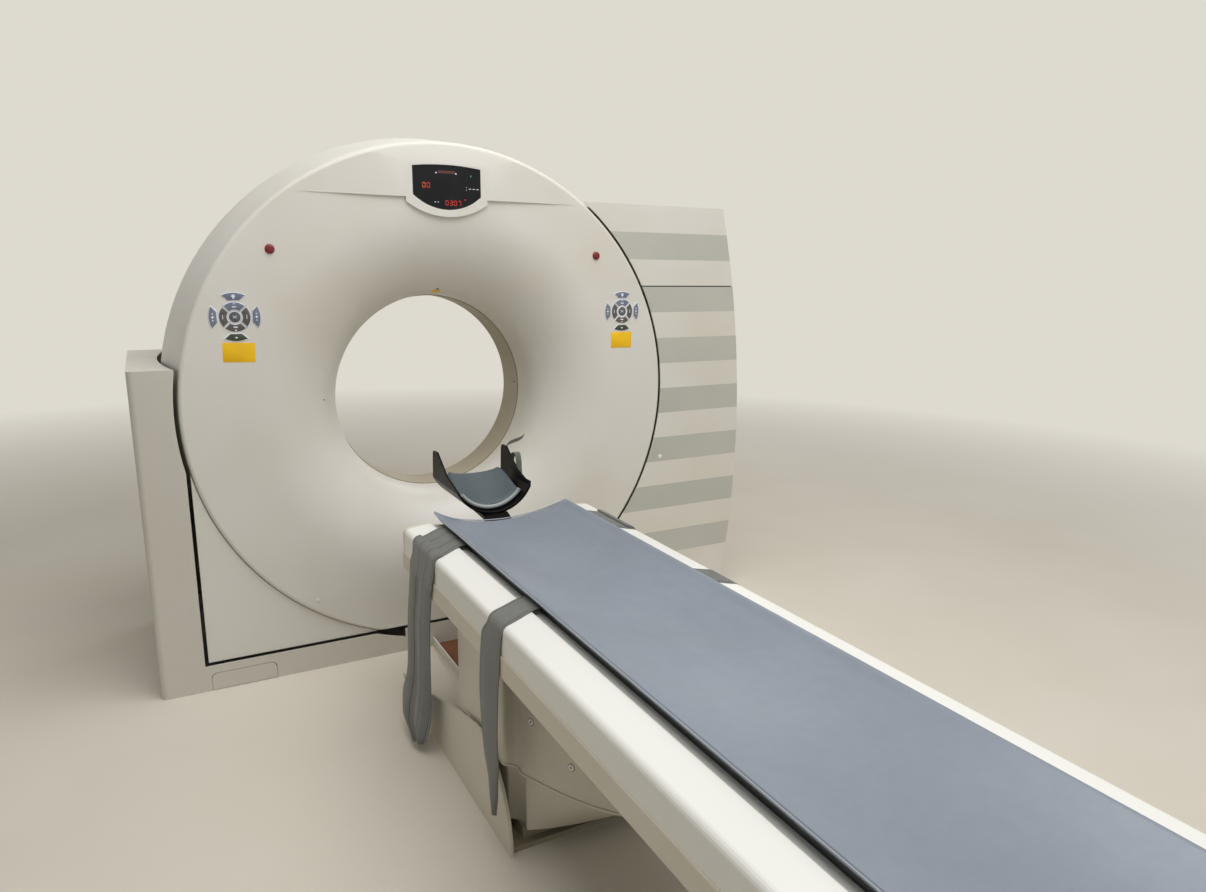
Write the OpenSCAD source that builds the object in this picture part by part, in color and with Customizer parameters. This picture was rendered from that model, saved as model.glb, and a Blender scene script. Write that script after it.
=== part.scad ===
// CT scanner: a tilting gantry with a patient table.
// Millimetres. +Z is up, +Y runs along the bore from the table into the gantry.
// The origin is on the floor, under the centre of the bore.

/* [Gantry] */
// Height of the bore axis and the tilt axis above the floor
axis_h = 905; // [900:1:920]
// Inside diameter of the bore ring
bore_d = 710; // [700:1:716]
// Radius of the drum at its front and rear rims
rim_r = 860; // [850:1:864]
// Radius of the drum at the joint between the front and rear covers
waist_r = 900; // [892:1:904]
// Distance from the bore centre to the front face
front_y = 355; // [350:1:360]
// Distance from the bore centre to the rear face
rear_y = 345; // [335:1:350]
// Distance from the bore centre forward to the joint between the covers
parting_y = 85; // [75:1:95]
// Radius at which the flat face turns into the mouth
mouth_r = 655; // [640:1:665]
// Distance from the bore centre to the narrowest part of the mouth
throat_y = 148; // [140:1:156]
// Rounding of the drum's rims
rim_round = 14; // [8:1:20]
// Wall of the drum covers
cover_wall = 5; // [4:0.5:6]
// Height of the drum's cut-off underside above the floor
belly_h = 99; // [96:1:104]

/* [Bore ring] */
// Distance from the bore centre forward to the ring's front edge
ring_front = 94; // [85:1:100]
// Distance from the bore centre back to the ring's rear edge
ring_back = 47; // [40:1:55]
// Wall of the ring
ring_wall = 6; // [5:0.5:8]
// Width of the dark joint between the mouth and the ring
ring_joint = 4; // [2:0.5:6]

/* [Brow and display] */
// Height of the crease under the brow above the bore axis
crease_h = 680; // [670:1:690]
// How far the brow stands proud of the face
brow_t = 9; // [6:1:12]
// Half the length of the crease
crease_half = 480; // [440:5:520]
// Half the width of the display
display_half = 117; // [105:1:125]
// Height of the display's top edge above the bore axis
display_top = 786; // [780:1:790]
// Height of the display's lower corners above the bore axis
display_shoulder = 688; // [684:1:695]
// Height of the display's lowest point above the bore axis
display_tip = 643; // [636:1:650]
// Width of the raised rim around the display
display_rim = 23; // [18:1:26]

/* [Keys] */
// Distance of each control panel's centre from the middle of the gantry
panel_x = 680; // [672:1:688]
// Height of each control panel's centre above the bore axis
panel_h = 301; // [285:1:310]
// Radius of the round centre key
key_centre_r = 18; // [16:0.5:19]
// Inner radius of the ring of keys
key_ring_in = 21.5; // [21:0.5:23]
// Outer radius of the ring of keys
key_ring_out = 46; // [42:0.5:47]
// Distance from the panel's centre to the inner edge of a wing key
key_wing_in = 49; // [49:0.5:52]
// Outer radius of the wing keys
key_wing_out = 74.5; // [70:0.5:78]
// Gap around each key
key_gap = 0.5; // [0.3:0.1:0.8]
// How far each key stands proud of the face
key_proud = 2; // [1.8:0.1:3]
// Depth of each key behind the face
key_depth = 8; // [7:0.5:9]
// Travel of each key
key_travel = 1.5; // [1:0.1:1.7]
// Distance of each stop button from the middle of the gantry
stop_x = 566; // [550:1:580]
// Height of each stop button above the bore axis
stop_h = 505; // [495:1:515]
// Radius of a stop button
stop_r = 14; // [12:0.5:16]
// How far a stop button stands proud of the face
stop_proud = 8; // [6:0.5:10]
// Travel of a stop button
stop_travel = 4; // [2:0.5:5]

/* [Fixed covers] */
// Gap between the tilting parts and the fixed covers, seen from the front
side_gap = 12; // [10:1:14]
// Gap between the drum and the striped side cover
cover_gap = 4; // [3:0.5:6]
// Gap between a bearing post and the outer face of the left column
column_gap = 9; // [7:0.5:12]
// Height of the left column's top above the bore axis
column_up = 147; // [140:1:155]
// Distance of the corner panel's left edge from the middle
corner_x = 843; // [840:1:846]
// Depth of the corner panel's returned edges, measured from the drum's face
corner_depth = 40; // [30:1:50]
// How far the corner panel stands back from the drum's face
corner_back = 12; // [8:0.5:14]
// How far the corner panel reaches below the drum's underside
corner_low = 5; // [2:0.5:6]
// Gap between the drum's rim and the corner panel's face
corner_gap = 2; // [1:0.5:3]
// Wall of the fixed covers
skin = 4; // [3.5:0.5:4]
// Rounding of the left column's outer corners
column_round = 18; // [12:1:24]
// Height of the joint between the side cover's two pieces above the bore axis
split_up = 395; // [375:5:415]
// Height of the side cover's top above the bore axis
side_up = 695; // [675:5:705]
// Widest point of the side cover, measured from the middle
side_wide = 1254; // [1240:1:1270]
// Radius of the side cover's bulging outer edge
side_bulge_r = 3750; // [3600:10:3900]
// Distance from the bore axis down to the side cover's widest point
bulge_down = 242; // [215:1:265]
// Where the left column's skirt meets the middle skirt
skirt_split = 200; // [150:5:260]
// Left edge of the service hatch, measured from the middle
hatch_left = 838; // [830:1:842]
// Width of the service hatch
hatch_w = 198; // [150:1:220]
// Height of the service hatch
hatch_h = 57; // [45:1:60]
// Gap around the hatch
hatch_gap = 1.6; // [0.8:0.1:2]
// Rounding of the hatch's top corners
hatch_round = 18; // [10:1:24]

/* [Trunnions and frame] */
// Radius of the trunnion shafts
shaft_r = 40; // [36:1:42]
// Running clearance of shafts and bearings
run_gap = 0.05; // [0.02:0.01:0.1]
// Gap between the drum and the inner face of a bearing post
post_gap = 12; // [10:0.5:14]
// Thickness of a bearing post
post_t = 66; // [60:1:66]
// Length of the tilt motor
motor_len = 250; // [200:5:260]
// Depth of a bearing post, front to back
post_d = 280; // [240:5:300]
// Height of a bearing post's top above the tilt axis
post_top = 105; // [95:1:115]
// Outer radius of the trunnion bearings
bearing_r = 70; // [60:1:80]
// Thickness of the floor frame
sill_t = 14; // [12:1:14]
// Width of the floor frame's cross bars
sill_w = 60; // [50:1:70]
// Distance from the inner face of a bearing post out to the floor anchors
anchor_in = 18; // [13:1:23]
// Distance between the floor anchors from front to back
anchor_y = 600; // [560:5:610]
// Radius of the anchor holes
anchor_r = 9; // [7:0.5:11]

/* [Rotor] */
// Radius of the main bearing's running surface
race_r = 480; // [470:1:490]
// Radius of the rotor plate
rotor_r = 795; // [780:1:800]
// Front face of the rotor plate behind the bore centre
rotor_y = 5; // [4:1:8]
// Thickness of the rotor plate
rotor_t = 25; // [20:1:30]
// Front face of the tilt frame behind the bore centre
frame_y = 95; // [90:1:100]
// Thickness of the tilt frame
frame_t = 45; // [35:1:55]
// Distance from the bore axis to the X-ray focus
focus_h = 570; // [560:1:580]
// Radius of the detector arc around the focus
detector_r = 1005; // [1000:1:1015]
// Half the angle that the detector arc spans
fan_half = 26; // [20:1:27]
// Distance from the bore axis to the near face of the generator
generator_in = 505; // [500:5:520]
// Width of the generator
generator_w = 230; // [200:5:240]
// How far the generator reaches forward of the bore centre
generator_front = 215; // [180:5:230]
// Distance from the bore axis to the near face of the tube cooler
cooler_in = 520; // [510:5:530]
// Width of the tube cooler
cooler_w = 210; // [180:5:220]

/* [Table] */
// Half the width of the table over its rails
table_half = 310; // [305:1:320]
// Head end of the table, measured from the bore centre
table_head = 798; // [790:1:810]
// Length of the table
table_len = 2430; // [2400:10:2500]
// Distance from the bore axis down to the rails' top at their outer edge
rail_down = 297; // [294:1:301]
// Distance from the bore axis down to the rails' top at their inner edge
rail_inner_down = 289; // [285:1:293]
// Half the gap between the two rails
rail_in = 229; // [226:1:232]
// Width of the ledge beside the cradle
ledge_w = 30; // [20:1:31]
// Distance from the rails' inner edge down to the ledge
ledge_down = 12; // [10:1:14]
// Distance from the bore axis down to the joint between rail and fascia
rail_split_down = 367; // [360:1:375]
// Distance from the bore axis down to the fascias' bottom edge
fascia_down = 421; // [415:1:425]
// How far the fascias stand proud of the rails
fascia_out = 3; // [1:0.5:4]
// Rounding of the rails' outer top edge
rail_round = 16; // [10:1:20]
// Wall of the rails and fascias
rail_wall = 5; // [4:0.5:6]
// Thickness of the straps
strap_t = 4; // [3:0.5:6]
// Width of the wide straps at the head end
strap_wide_w = 210; // [180:5:230]
// Distance from the table's head end to the wide straps
strap_wide_at = 52; // [40:2:120]
// Height of the wide straps' tips above the floor
strap_wide_tip = 60; // [40:5:120]
// Width of the slim straps
strap_slim_w = 112; // [80:2:130]
// Distance from the table's head end to the slim straps
strap_slim_at = 664; // [600:2:760]
// Height of the slim straps' tips above the floor
strap_slim_tip = 120; // [60:5:200]
// Distance from the middle to the inner face of a long beam
beam_in = 154; // [140:1:158]
// Width of a long beam
beam_w = 35; // [28:1:37]

/* [Cradle] */
// Gap between the bore ring and the cradle's underside
bore_gap = 4; // [3:0.5:6]
// Half the width of the cradle
cradle_half = 195; // [185:1:200]
// Thickness of the cradle at its edges
cradle_edge = 7; // [5:0.5:9]
// Thickness of the cradle in the middle
cradle_mid = 28; // [24:1:32]
// Half the width of the mat
mat_half = 215.5; // [205:0.5:217]
// Thickness of the mat at its edges
mat_edge = 11; // [9:0.5:14]
// Thickness of the mat in the middle
mat_mid = 22; // [18:1:26]
// Head end of the mat, measured from the bore centre
mat_head = 818; // [812:1:840]
// Length of the mat
mat_len = 2280; // [2200:10:2320]
// Travel of the cradle into the bore
cradle_travel = 1530; // [1200:10:1540]

/* [Pedestal] */
// Half the width of the upper cover
cover_half = 268; // [262:1:270]
// Head side of the upper cover, measured from the bore centre
cover_head = 1120; // [1110:5:1140]
// Where the belly of the covers starts, measured from the bore centre
belly_start = 1528; // [1515:1:1540]
// How far the belly reaches out towards the foot end
belly_out = 290; // [260:5:310]
// Half the width of the belly
belly_half = 245; // [238:1:250]
// Wall of the pedestal's covers
shell = 4; // [3:0.5:4.5]
// Gap between one pedestal cover and the next
nest_gap = 1.5; // [1:0.25:2]
// Distance from the fascia's underside down to the upper cover's edge
lip_down = 284; // [275:1:292]
// Distance from the fascia's underside down to the lower cover's top
lower_drop = 152; // [150:1:158]
// Distance from the fascia's underside down to the middle cover's foot
middle_low = 272; // [266:1:278]
// Distance from the fascia's underside down to the middle cover's top
middle_drop = 71; // [69:1:74]
// Width of the lifting column
column_w = 200; // [190:1:210]
// Depth of the lifting column
column_d = 180; // [170:1:190]
// Wall of each stage of the lifting column
stage_wall = 6; // [5:0.5:7]
// How far the upper cover's lip stands out
lip_out = 3; // [1:0.5:4]
// How far the lower cover's bottom edge bulges beyond where the belly starts
lower_out = 45; // [30:1:60]
// Height over which the lower cover widens to the full belly
taper_h = 170; // [140:5:180]
// Height of the lower cover's bottom edge
lower_h = 50; // [48:1:56]
// Half the width of the foot over its side panels
foot_half = 284; // [282:1:292]
// Thickness of the side panels
panel_t = 8; // [6:1:10]
// Head end of the foot, measured from the bore centre
foot_head = 925; // [915:5:940]
// Foot end of the foot, measured from the bore centre
foot_end = 1530; // [1520:5:1545]
// Distance between the pedestal anchors across
foot_anchor_x = 440; // [400:5:460]
// Distance between the pedestal anchors along the table
foot_anchor_y = 460; // [420:5:480]
// Lowest travel of the table from where it stands
lift_down = 140; // [100:5:140]
// Highest travel of the table from where it stands
lift_up = 220; // [150:5:220]

/* [Head holder] */
// Inside radius of the holder's bracket
holder_r = 130; // [124:1:134]
// Distance from the bore axis down to the centre of the bracket's bend
holder_down = 171; // [165:1:178]
// Distance from the middle to the inner face of a side wing
wing_in = 118; // [112:1:120]
// Thickness of the bracket
holder_t = 6; // [4:0.5:8]
// Foot end of the holder, measured from the bore centre
holder_foot = 752; // [740:1:765]
// Length of the holder along the table
holder_len = 250; // [230:1:260]
// Distance from the bore axis down to the tips of the wings
wing_down = 136; // [125:1:145]

/* [Hidden] */
$fn = 96;
e = 0.01;
bore_r = bore_d / 2;
throat_r = bore_r + ring_wall;
mouth_end = ring_front + ring_joint;
rear_rise = rear_y - ring_back;
belly_z = belly_h - axis_h;
rim_reach = sqrt(front_y * front_y + rim_r * rim_r);
sweep_gap = side_gap * 2 / 3;
seat = 0.3;
cradle_r = bore_r - bore_gap;
skirt_h = belly_h - side_gap;
post_x = waist_r + post_gap;
column_x = post_x + post_t + column_gap;
anchor_x = 2 * (post_x + anchor_in);
column_h = axis_h + column_up;
side_split = axis_h + split_up;
side_top = axis_h + side_up;
side_bulge_h = axis_h - bulge_down;
rail_h = axis_h - rail_down;
rail_inner_h = axis_h - rail_inner_down;
rail_split = axis_h - rail_split_down;
fascia_h = axis_h - fascia_down;
lip_h = fascia_h - lip_down;
lower_top = fascia_h - lower_drop;
middle_h = fascia_h - middle_low;
middle_top = fascia_h - middle_drop;
table_foot = table_head + table_len;
column_mid_y = (cover_head + belly_start) / 2 - 30;

// Key names in the order of the key_shape numbers
KEYS = [
    "centre", "ring_up", "ring_left", "ring_down", "ring_right",
    "wing_up", "wing_left", "wing_down", "wing_right"
];
SIDES = [["left", -1], ["right", 1]];

WHITE = [0.82, 0.80, 0.75];
STEEL = [0.55, 0.57, 0.60];
DARK = [0.12, 0.12, 0.13];

// Radius of a circle through both ends and the crest of an arch
function arch_r(half, rise) = (half * half + rise * rise) / (2 * rise);

// Half the width of a circle at the given height over its centre
function chord(r, h) = sqrt(max(0, r * r - h * h));

// Shared shapes

// Turns a profile of radius and distance along Y around the bore axis
module around_bore(profile) {
    translate([0, 0, axis_h]) rotate([-90, 0, 0]) rotate_extrude($fn = 180) polygon(profile);
}

// A cylinder along Y around the bore axis, from y0 to y1
module along_bore(r, y0, y1, sides = 180) {
    translate([0, y0, axis_h]) rotate([-90, 0, 0]) cylinder(r = r, h = y1 - y0, $fn = sides);
}

// A cylinder along X on the tilt axis, from x0 to x1
module along_tilt(r, x0, x1) {
    translate([x0, 0, axis_h]) rotate([0, 90, 0]) cylinder(r = r, h = x1 - x0);
}

// Puts a shape drawn in X and Y on the gantry's face, with its depth towards the table
module on_face(x, h) {
    translate([x, -front_y, axis_h + h]) rotate([90, 0, 0]) children();
}

// Extrudes a shape drawn in X and Z along Y, from y0 to y1
module along_y(y0, y1) {
    translate([0, y1, 0]) rotate([90, 0, 0]) linear_extrude(y1 - y0) children();
}

// Extrudes a shape drawn in Y and Z along X, from x0 to x1
module along_x(x0, x1) {
    translate([x0, 0, 0]) rotate([90, 0, 90]) linear_extrude(x1 - x0) children();
}

module both_sides() {
    children();
    mirror([1, 0, 0]) children();
}

module block(x0, x1, y0, y1, z0, z1) {
    translate([x0, y0, z0]) cube([x1 - x0, y1 - y0, z1 - z0]);
}

// Drum outlines

// Points of the mouth, from its narrowest part out to the flat face, set back by a wall
function mouth(wall) = [
    for (a = [0:7.5:90])
        [
            throat_r + wall + (mouth_r - throat_r) * (1 - cos(a)),
            -(throat_y + (front_y - wall - throat_y) * sin(a))
        ]
];

// Points of a rounded rim at the given Y, set back by a wall
function rim(y, way, wall) = [
    for (a = [90:-15:0])
        [
            rim_r - rim_round + (rim_round - wall) * cos(a),
            y + way * (-rim_round + (rim_round - wall) * sin(a))
        ]
];

function front_outline(wall) = concat(
    [[throat_r - 3 + wall, -mouth_end]],
    mouth(wall),
    rim(-front_y, -1, wall),
    [[waist_r - wall, -parting_y]]
);

function rear_outline(wall) = concat(
    [[throat_r + wall * 1.4, ring_back + seat], [throat_r + rear_rise + wall * 0.4, rear_y - wall]],
    rim(rear_y, 1, wall),
    [[waist_r - wall, seat - parting_y + 3.7]]
);

function reversed(p) = [for (i = [len(p) - 1:-1:0]) p[i]];

// The whole space inside the drum covers, less a gap
module drum_inside(gap) {
    w = cover_wall + gap;
    around_bore([
        [race_r, -front_y + w],
        [rim_r - w, -front_y + w],
        [waist_r - w, -parting_y],
        [rim_r - w, rear_y - w],
        [race_r, rear_y - w]
    ]);
}

// Everything above the drum's cut-off underside
module above_belly(up = 0) {
    block(-1000, 1000, -1000, 1000, belly_h + up, axis_h + 1000);
}

// The round clearance that the fixed covers leave around the drum
module drum_clearance(gap) {
    along_bore(rim_r + gap, -front_y - 100, front_y + 100);
}

// Fixed parts of the gantry

module base_frame() {
    side = anchor_y / 2 + 30;
    color(STEEL)
        difference() {
            union() {
                both_sides() block(post_x - 122, post_x + post_t - 3, -side, side, 0, sill_t);
                for (y = [-side, side - sill_w])
                    block(-anchor_x / 2, anchor_x / 2, y, y + sill_w, 0, sill_t);
                // Plinth ledge under the electronics side
                block(anchor_x / 2, side_wide - 80, -side, side, 0, sill_t);
            }
            for (x = [-1, 1], y = [-1, 1])
                translate([x * anchor_x / 2, y * anchor_y / 2, -e])
                    cylinder(r = anchor_r, h = sill_t + 1);
        }
}

module support_posts() {
    half = post_d / 2;
    color(STEEL)
        both_sides()
            difference() {
                along_x(post_x, post_x + post_t)
                    polygon([
                        [-half, sill_t], [half, sill_t], [half, axis_h - 160],
                        [bearing_r + 40, axis_h + post_top], [-bearing_r - 40, axis_h + post_top],
                        [-half, axis_h - 160]
                    ]);
                along_tilt(bearing_r, post_x - 1, post_x + post_t + 1);
                // Lightening window below the bearing
                along_x(post_x - 1, post_x + post_t + 1)
                    polygon([
                        [-half + 60, sill_t + 186], [half - 60, sill_t + 186],
                        [half - 60, axis_h - 260], [-half + 60, axis_h - 260]
                    ]);
            }
}

module trunnion_bearings() {
    color([0.75, 0.76, 0.78])
        both_sides()
            difference() {
                along_tilt(bearing_r, post_x + 2, post_x + post_t - 2);
                along_tilt(shaft_r + run_gap, post_x - 1, post_x + post_t + 1);
            }
}

module tilt_drive() {
    x0 = post_x + post_t;
    color([0.25, 0.27, 0.30])
        difference() {
            union() {
                along_tilt(shaft_r + 75, x0, x0 + 80);
                translate([x0 + 40, 0, axis_h - 80 - motor_len]) cylinder(r = 36, h = motor_len);
                block(x0, x0 + 80, -60, 60, axis_h - 120, axis_h);
            }
            along_tilt(shaft_r + run_gap, x0 - 1, x0 + 76);
        }
}

// Plan of the left column: square towards the drum, rounded outside
module column_plan(inset) {
    r = column_round - inset;
    x0 = -column_x + inset;
    x1 = -corner_x - side_gap;
    d = front_y - inset;
    translate([x0 + r, -d]) square([x1 - x0 - r, 2 * d]);
    translate([x0, -d + r]) square([r + 1, 2 * (d - r)]);
    for (y = [-d + r, d - r])
        translate([x0 + r, y]) circle(r = r);
}

module hatch_outline(grow) {
    x0 = -hatch_left - grow;
    w = hatch_w + 2 * grow;
    r = hatch_round;
    translate([x0, 2 - grow]) square([w, hatch_h - r + grow]);
    translate([x0 + r, 2 - grow]) square([w - 2 * r, hatch_h + 2 * grow]);
    for (x = [x0 + r, x0 + w - r])
        translate([x, 2 + hatch_h + grow - r]) circle(r = r);
}

module left_column_cover() {
    lid_r = arch_r(front_y, waist_r - 2 - corner_x - side_gap - 6);
    color(WHITE)
        difference() {
            union() {
                linear_extrude(column_h) column_plan(0);
                // Base skirt that runs on in one piece from the column's foot
                block(-column_x + column_round, -skirt_split, -front_y, -front_y + skin, 0, skirt_h);
            }
            translate([0, 0, -e]) linear_extrude(column_h - skin) column_plan(skin);
            // Open side towards the drum
            block(
                -corner_x - side_gap - skin, -corner_x,
                -front_y + skin, front_y - skin, -e, column_h - skin
            );
            drum_clearance(side_gap);
            // Bowed edge of the top, clear of the drum at full tilt
            translate([lid_r - waist_r + 2, 0, column_h - 2 * skin])
                cylinder(r = lid_r, h = 3 * skin, $fn = 360);
            along_y(-front_y - 1, -front_y + skin + 1) hatch_outline(hatch_gap);
            // Cooling slots low in the outer face
            for (i = [0:5])
                block(
                    -column_x - 1, -column_x + skin + 1,
                    -front_y + 60, -front_y + 160,
                    axis_h - 575 + i * 16, axis_h - 569 + i * 16
                );
        }
}

module base_skirts() {
    left = -skirt_split + seat;
    right = chord(rim_r + side_gap, belly_z) + side_gap;
    color(WHITE) {
        block(left, right, -front_y, -front_y + skin, 0, skirt_h);
        // Foot flange that stands on the floor frame's edge
        block(left, right, -front_y + skin, -anchor_y / 2 - 30 - seat, 0, sill_t);
        block(-corner_x - side_gap, right, front_y - skin, front_y, 0, skirt_h);
        block(-corner_x, right, anchor_y / 2 + 30 + seat, front_y - skin, 0, sill_t);
    }
}

module service_hatch() {
    color(WHITE) {
        along_y(-front_y, -front_y + skin) hatch_outline(0);
        along_y(-front_y + skin, -front_y + skin + 2.3)
            hatch_outline(-4);
        // Rear flange that laps behind the skirt
        along_y(-front_y + skin + seat, -front_y + skin + 2.3)
            translate([-hatch_left - 7, 2]) square([hatch_w + 14, hatch_h - hatch_round]);
    }
}

// Front view of the whole side cover, out to its bulging edge
module side_outline(inset, z0, z1) {
    intersection() {
        translate([side_wide - side_bulge_r, side_bulge_h])
            circle(r = side_bulge_r - inset, $fn = 360);
        translate([side_gap, z0]) square([2 * side_wide, z1 - z0]);
    }
}

module side_shell(z0, z1, lid) {
    difference() {
        along_y(-front_y, front_y) side_outline(0, z0, z1);
        along_y(-front_y + skin, front_y - skin) side_outline(skin, z0 - 1, z1 - lid);
        drum_clearance(cover_gap);
    }
}

module side_cover_upper() {
    top = side_top - axis_h;
    color(WHITE)
        difference() {
            union() {
                side_shell(side_split + 1.5, side_top, skin);
                // Lip that laps inside the lower piece
                difference() {
                    union() {
                        along_y(-front_y + skin + seat, front_y - skin - seat)
                            side_outline(skin + seat, side_split - 14, side_split + 12);
                        along_y(-front_y + skin - 1, front_y - skin + 1)
                            side_outline(skin - 1, side_split + 4, side_split + 12);
                    }
                    along_y(-front_y + skin + 3, front_y - skin - 3)
                        side_outline(skin + 3, side_split - 20, side_split + 20);
                    drum_clearance(cover_gap);
                }
            }
            // The top starts clear of the drum at full tilt
            block(
                0, chord(rim_reach + sweep_gap, top - skin),
                -front_y + skin, front_y - skin, side_top - 2 * skin, side_top + 1
            );
        }
}

module side_cover_lower() {
    foot = chord(rim_r + side_gap, belly_z) + side_gap;
    color(WHITE)
        difference() {
            side_shell(0, side_split - 1.5, -10);
            // Makes room for the skirts under the drum
            block(-column_x, foot + seat, -front_y - 1, front_y + 1, -e, belly_h);
        }
}

module floor_duct() {
    half = 100;
    color([0.80, 0.79, 0.76])
        difference() {
            block(-half, half, -foot_head + seat, -front_y - seat, 0, 32);
            block(-half + 6, half - 6, -foot_head - 1, -front_y + 1, 5, 40);
        }
}

// Tilting parts

module tilt_frame() {
    color(STEEL)
        difference() {
            intersection() {
                union() {
                    along_bore(race_r + 340, frame_y, frame_y + frame_t);
                    // Arms that carry the covers
                    for (a = [40, 140, 220, 320])
                        translate([0, frame_y, axis_h])
                            rotate([0, a, 0]) block(race_r, waist_r, 0, frame_t, -30, 30);
                    // Lugs that carry the trunnion shafts
                    both_sides()
                        block(
                            rotor_r + 12, waist_r, -shaft_r - 10, frame_y + frame_t,
                            axis_h - 70, axis_h + 70
                        );
                }
                drum_inside(seat);
                above_belly(cover_wall + seat);
            }
            along_bore(race_r + 20, frame_y - 1, frame_y + frame_t + 1);
            // Lightening windows round the frame
            for (a = [0:60:300])
                rotate_window(a + 30);
        }
    color([0.7, 0.71, 0.73])
    {
        along_tilt(shaft_r, -post_x - post_t + 1, 24 - waist_r);
        // The right shaft runs on into the tilt drive
        along_tilt(shaft_r, waist_r - 24, post_x + post_t + 72);
    }
}

module rotate_window(a) {
    translate([0, frame_y - 1, axis_h])
        rotate([0, a, 0])
            translate([race_r + 180, 0, 0])
                rotate([-90, 0, 0]) cylinder(r = 75, h = frame_t + 2);
}

// Outline of the display, grown by a rim
module shield(grow) {
    half = display_half + grow;
    rise = display_shoulder - display_tip;
    r = arch_r(half, rise);
    top_r = arch_r(half, 8);
    intersection() {
        translate([-half, -500]) square([2 * half, 2000]);
        translate([0, display_top + grow - top_r]) circle(r = top_r, $fn = 240);
        translate([0, display_tip - grow + r]) circle(r = r, $fn = 180);
    }
    intersection() {
        translate([-half, display_shoulder - grow]) square([2 * half, 200]);
        translate([0, display_top + grow - top_r]) circle(r = top_r, $fn = 240);
    }
}

// The raised area at the top of the face, fading out to both sides and to the rim
module brow() {
    intersection() {
        on_face(0, 0)
            linear_extrude(brow_t)
                union() {
                    intersection() {
                        circle(r = rim_r - rim_round, $fn = 240);
                        translate([-crease_half, crease_h]) square([2 * crease_half, 300]);
                    }
                    shield(display_rim);
                }
        translate([0, 0, axis_h])
            linear_extrude(rim_r)
                polygon([
                    [-crease_half, -front_y + 1], [-crease_half, -front_y],
                    [-display_half - 40, -front_y - brow_t], [display_half + 40, -front_y - brow_t],
                    [crease_half, -front_y], [crease_half, -front_y + 1]
                ]);
        along_x(-crease_half, crease_half)
            polygon([
                [-front_y + 1, axis_h], [-front_y - brow_t, axis_h],
                [-front_y - brow_t, axis_h + display_top + 6],
                [-front_y, axis_h + rim_r - rim_round], [-front_y + 1, axis_h + rim_r - rim_round]
            ]);
    }
}

// Shape of one key, grown by a gap: 0 is the centre, 1 to 4 the ring, 5 to 8 the wings
module key_shape(i, grow) {
    if (i == 0) circle(r = key_centre_r + grow);
    if (i >= 1 && i <= 4)
        intersection() {
            difference() {
                circle(r = key_ring_out + grow);
                circle(r = key_ring_in - grow);
            }
            rotate(90 * (i - 1))
                polygon([[0, 1.6 - grow * 1.4], [60, 61.6 - grow * 1.4], [-60, 61.6 - grow * 1.4]]);
        }
    if (i >= 5)
        rotate(90 * (i - 5))
            intersection() {
                circle(r = key_wing_out + grow);
                polygon([
                    [-17 - grow, key_wing_in - grow], [17 + grow, key_wing_in - grow],
                    [37 + grow * 1.4, key_wing_out + 2], [-37 - grow * 1.4, key_wing_out + 2]
                ]);
            }
}

module key_holes() {
    for (side = SIDES, i = [0:8])
        on_face(side[1] * panel_x, panel_h)
            translate([0, 0, -cover_wall - 1]) linear_extrude(cover_wall + 2) key_shape(i, key_gap);
    for (side = SIDES)
        on_face(side[1] * stop_x, stop_h)
            translate([0, 0, -cover_wall - 1]) cylinder(r = stop_r + key_gap, h = cover_wall + 2);
}

// Trays behind the keys that carry their switches
module key_trays() {
    back = key_depth + key_travel + 0.5;
    for (side = SIDES)
        on_face(side[1] * panel_x, panel_h)
            translate([0, 0, -back - 4])
                difference() {
                    cylinder(r = key_wing_out + 8, h = back + 4 - cover_wall + e);
                    translate([0, 0, 4]) cylinder(r = key_wing_out + 4, h = back);
                }
    for (side = SIDES)
        on_face(side[1] * stop_x, stop_h)
            translate([0, 0, -back - stop_travel - 4])
                difference() {
                    cylinder(r = stop_r + 8, h = back + stop_travel + 4 - cover_wall + e);
                    translate([0, 0, 4]) cylinder(r = stop_r + 4, h = back + stop_travel);
                }
}

module front_cover() {
    color(WHITE)
        difference() {
            union() {
                intersection() {
                    union() {
                        around_bore(concat(front_outline(0), reversed(front_outline(cover_wall))));
                        // Plate that closes the underside
                        intersection() {
                            around_bore(concat([[mouth_r, -parting_y]], [[mouth_r, -front_y]],
                                rim(-front_y, -1, 0), [[waist_r, -parting_y]]));
                            block(-1000, 1000, -1000, 1000, belly_h, belly_h + cover_wall);
                        }
                    }
                    above_belly();
                }
                brow();
                key_trays();
            }
            key_holes();
            on_face(0, 0) translate([0, 0, -cover_wall - 1]) linear_extrude(brow_t + 20) shield(0);
        }
}

module rear_cover() {
    lip = waist_r - cover_wall - (waist_r - rim_r) * 15 / (front_y - parting_y) - seat;
    color(WHITE)
        difference() {
            intersection() {
                union() {
                    around_bore(concat(rear_outline(0), reversed(rear_outline(cover_wall))));
                    // Lip that the front cover laps over
                    intersection() {
                        around_bore([
                            [lip - 6, -parting_y - 15], [lip, -parting_y - 15], [lip, -parting_y + 4],
                            [waist_r - 3, -parting_y + 5], [waist_r - 3, -parting_y + 12],
                            [lip - 6, -parting_y + 12]
                        ]);
                        above_belly(cover_wall + seat);
                    }
                    intersection() {
                        around_bore([[mouth_r, 4 - parting_y], [waist_r, 4 - parting_y],
                            [rim_r, rear_y - rim_round], [rim_r - rim_round, rear_y], [mouth_r, rear_y]]);
                        block(-1000, 1000, -1000, 1000, belly_h, belly_h + cover_wall);
                    }
                }
                above_belly();
            }
            both_sides() along_tilt(shaft_r + 1, rim_r - 40, waist_r + 10);
        }
}

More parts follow.
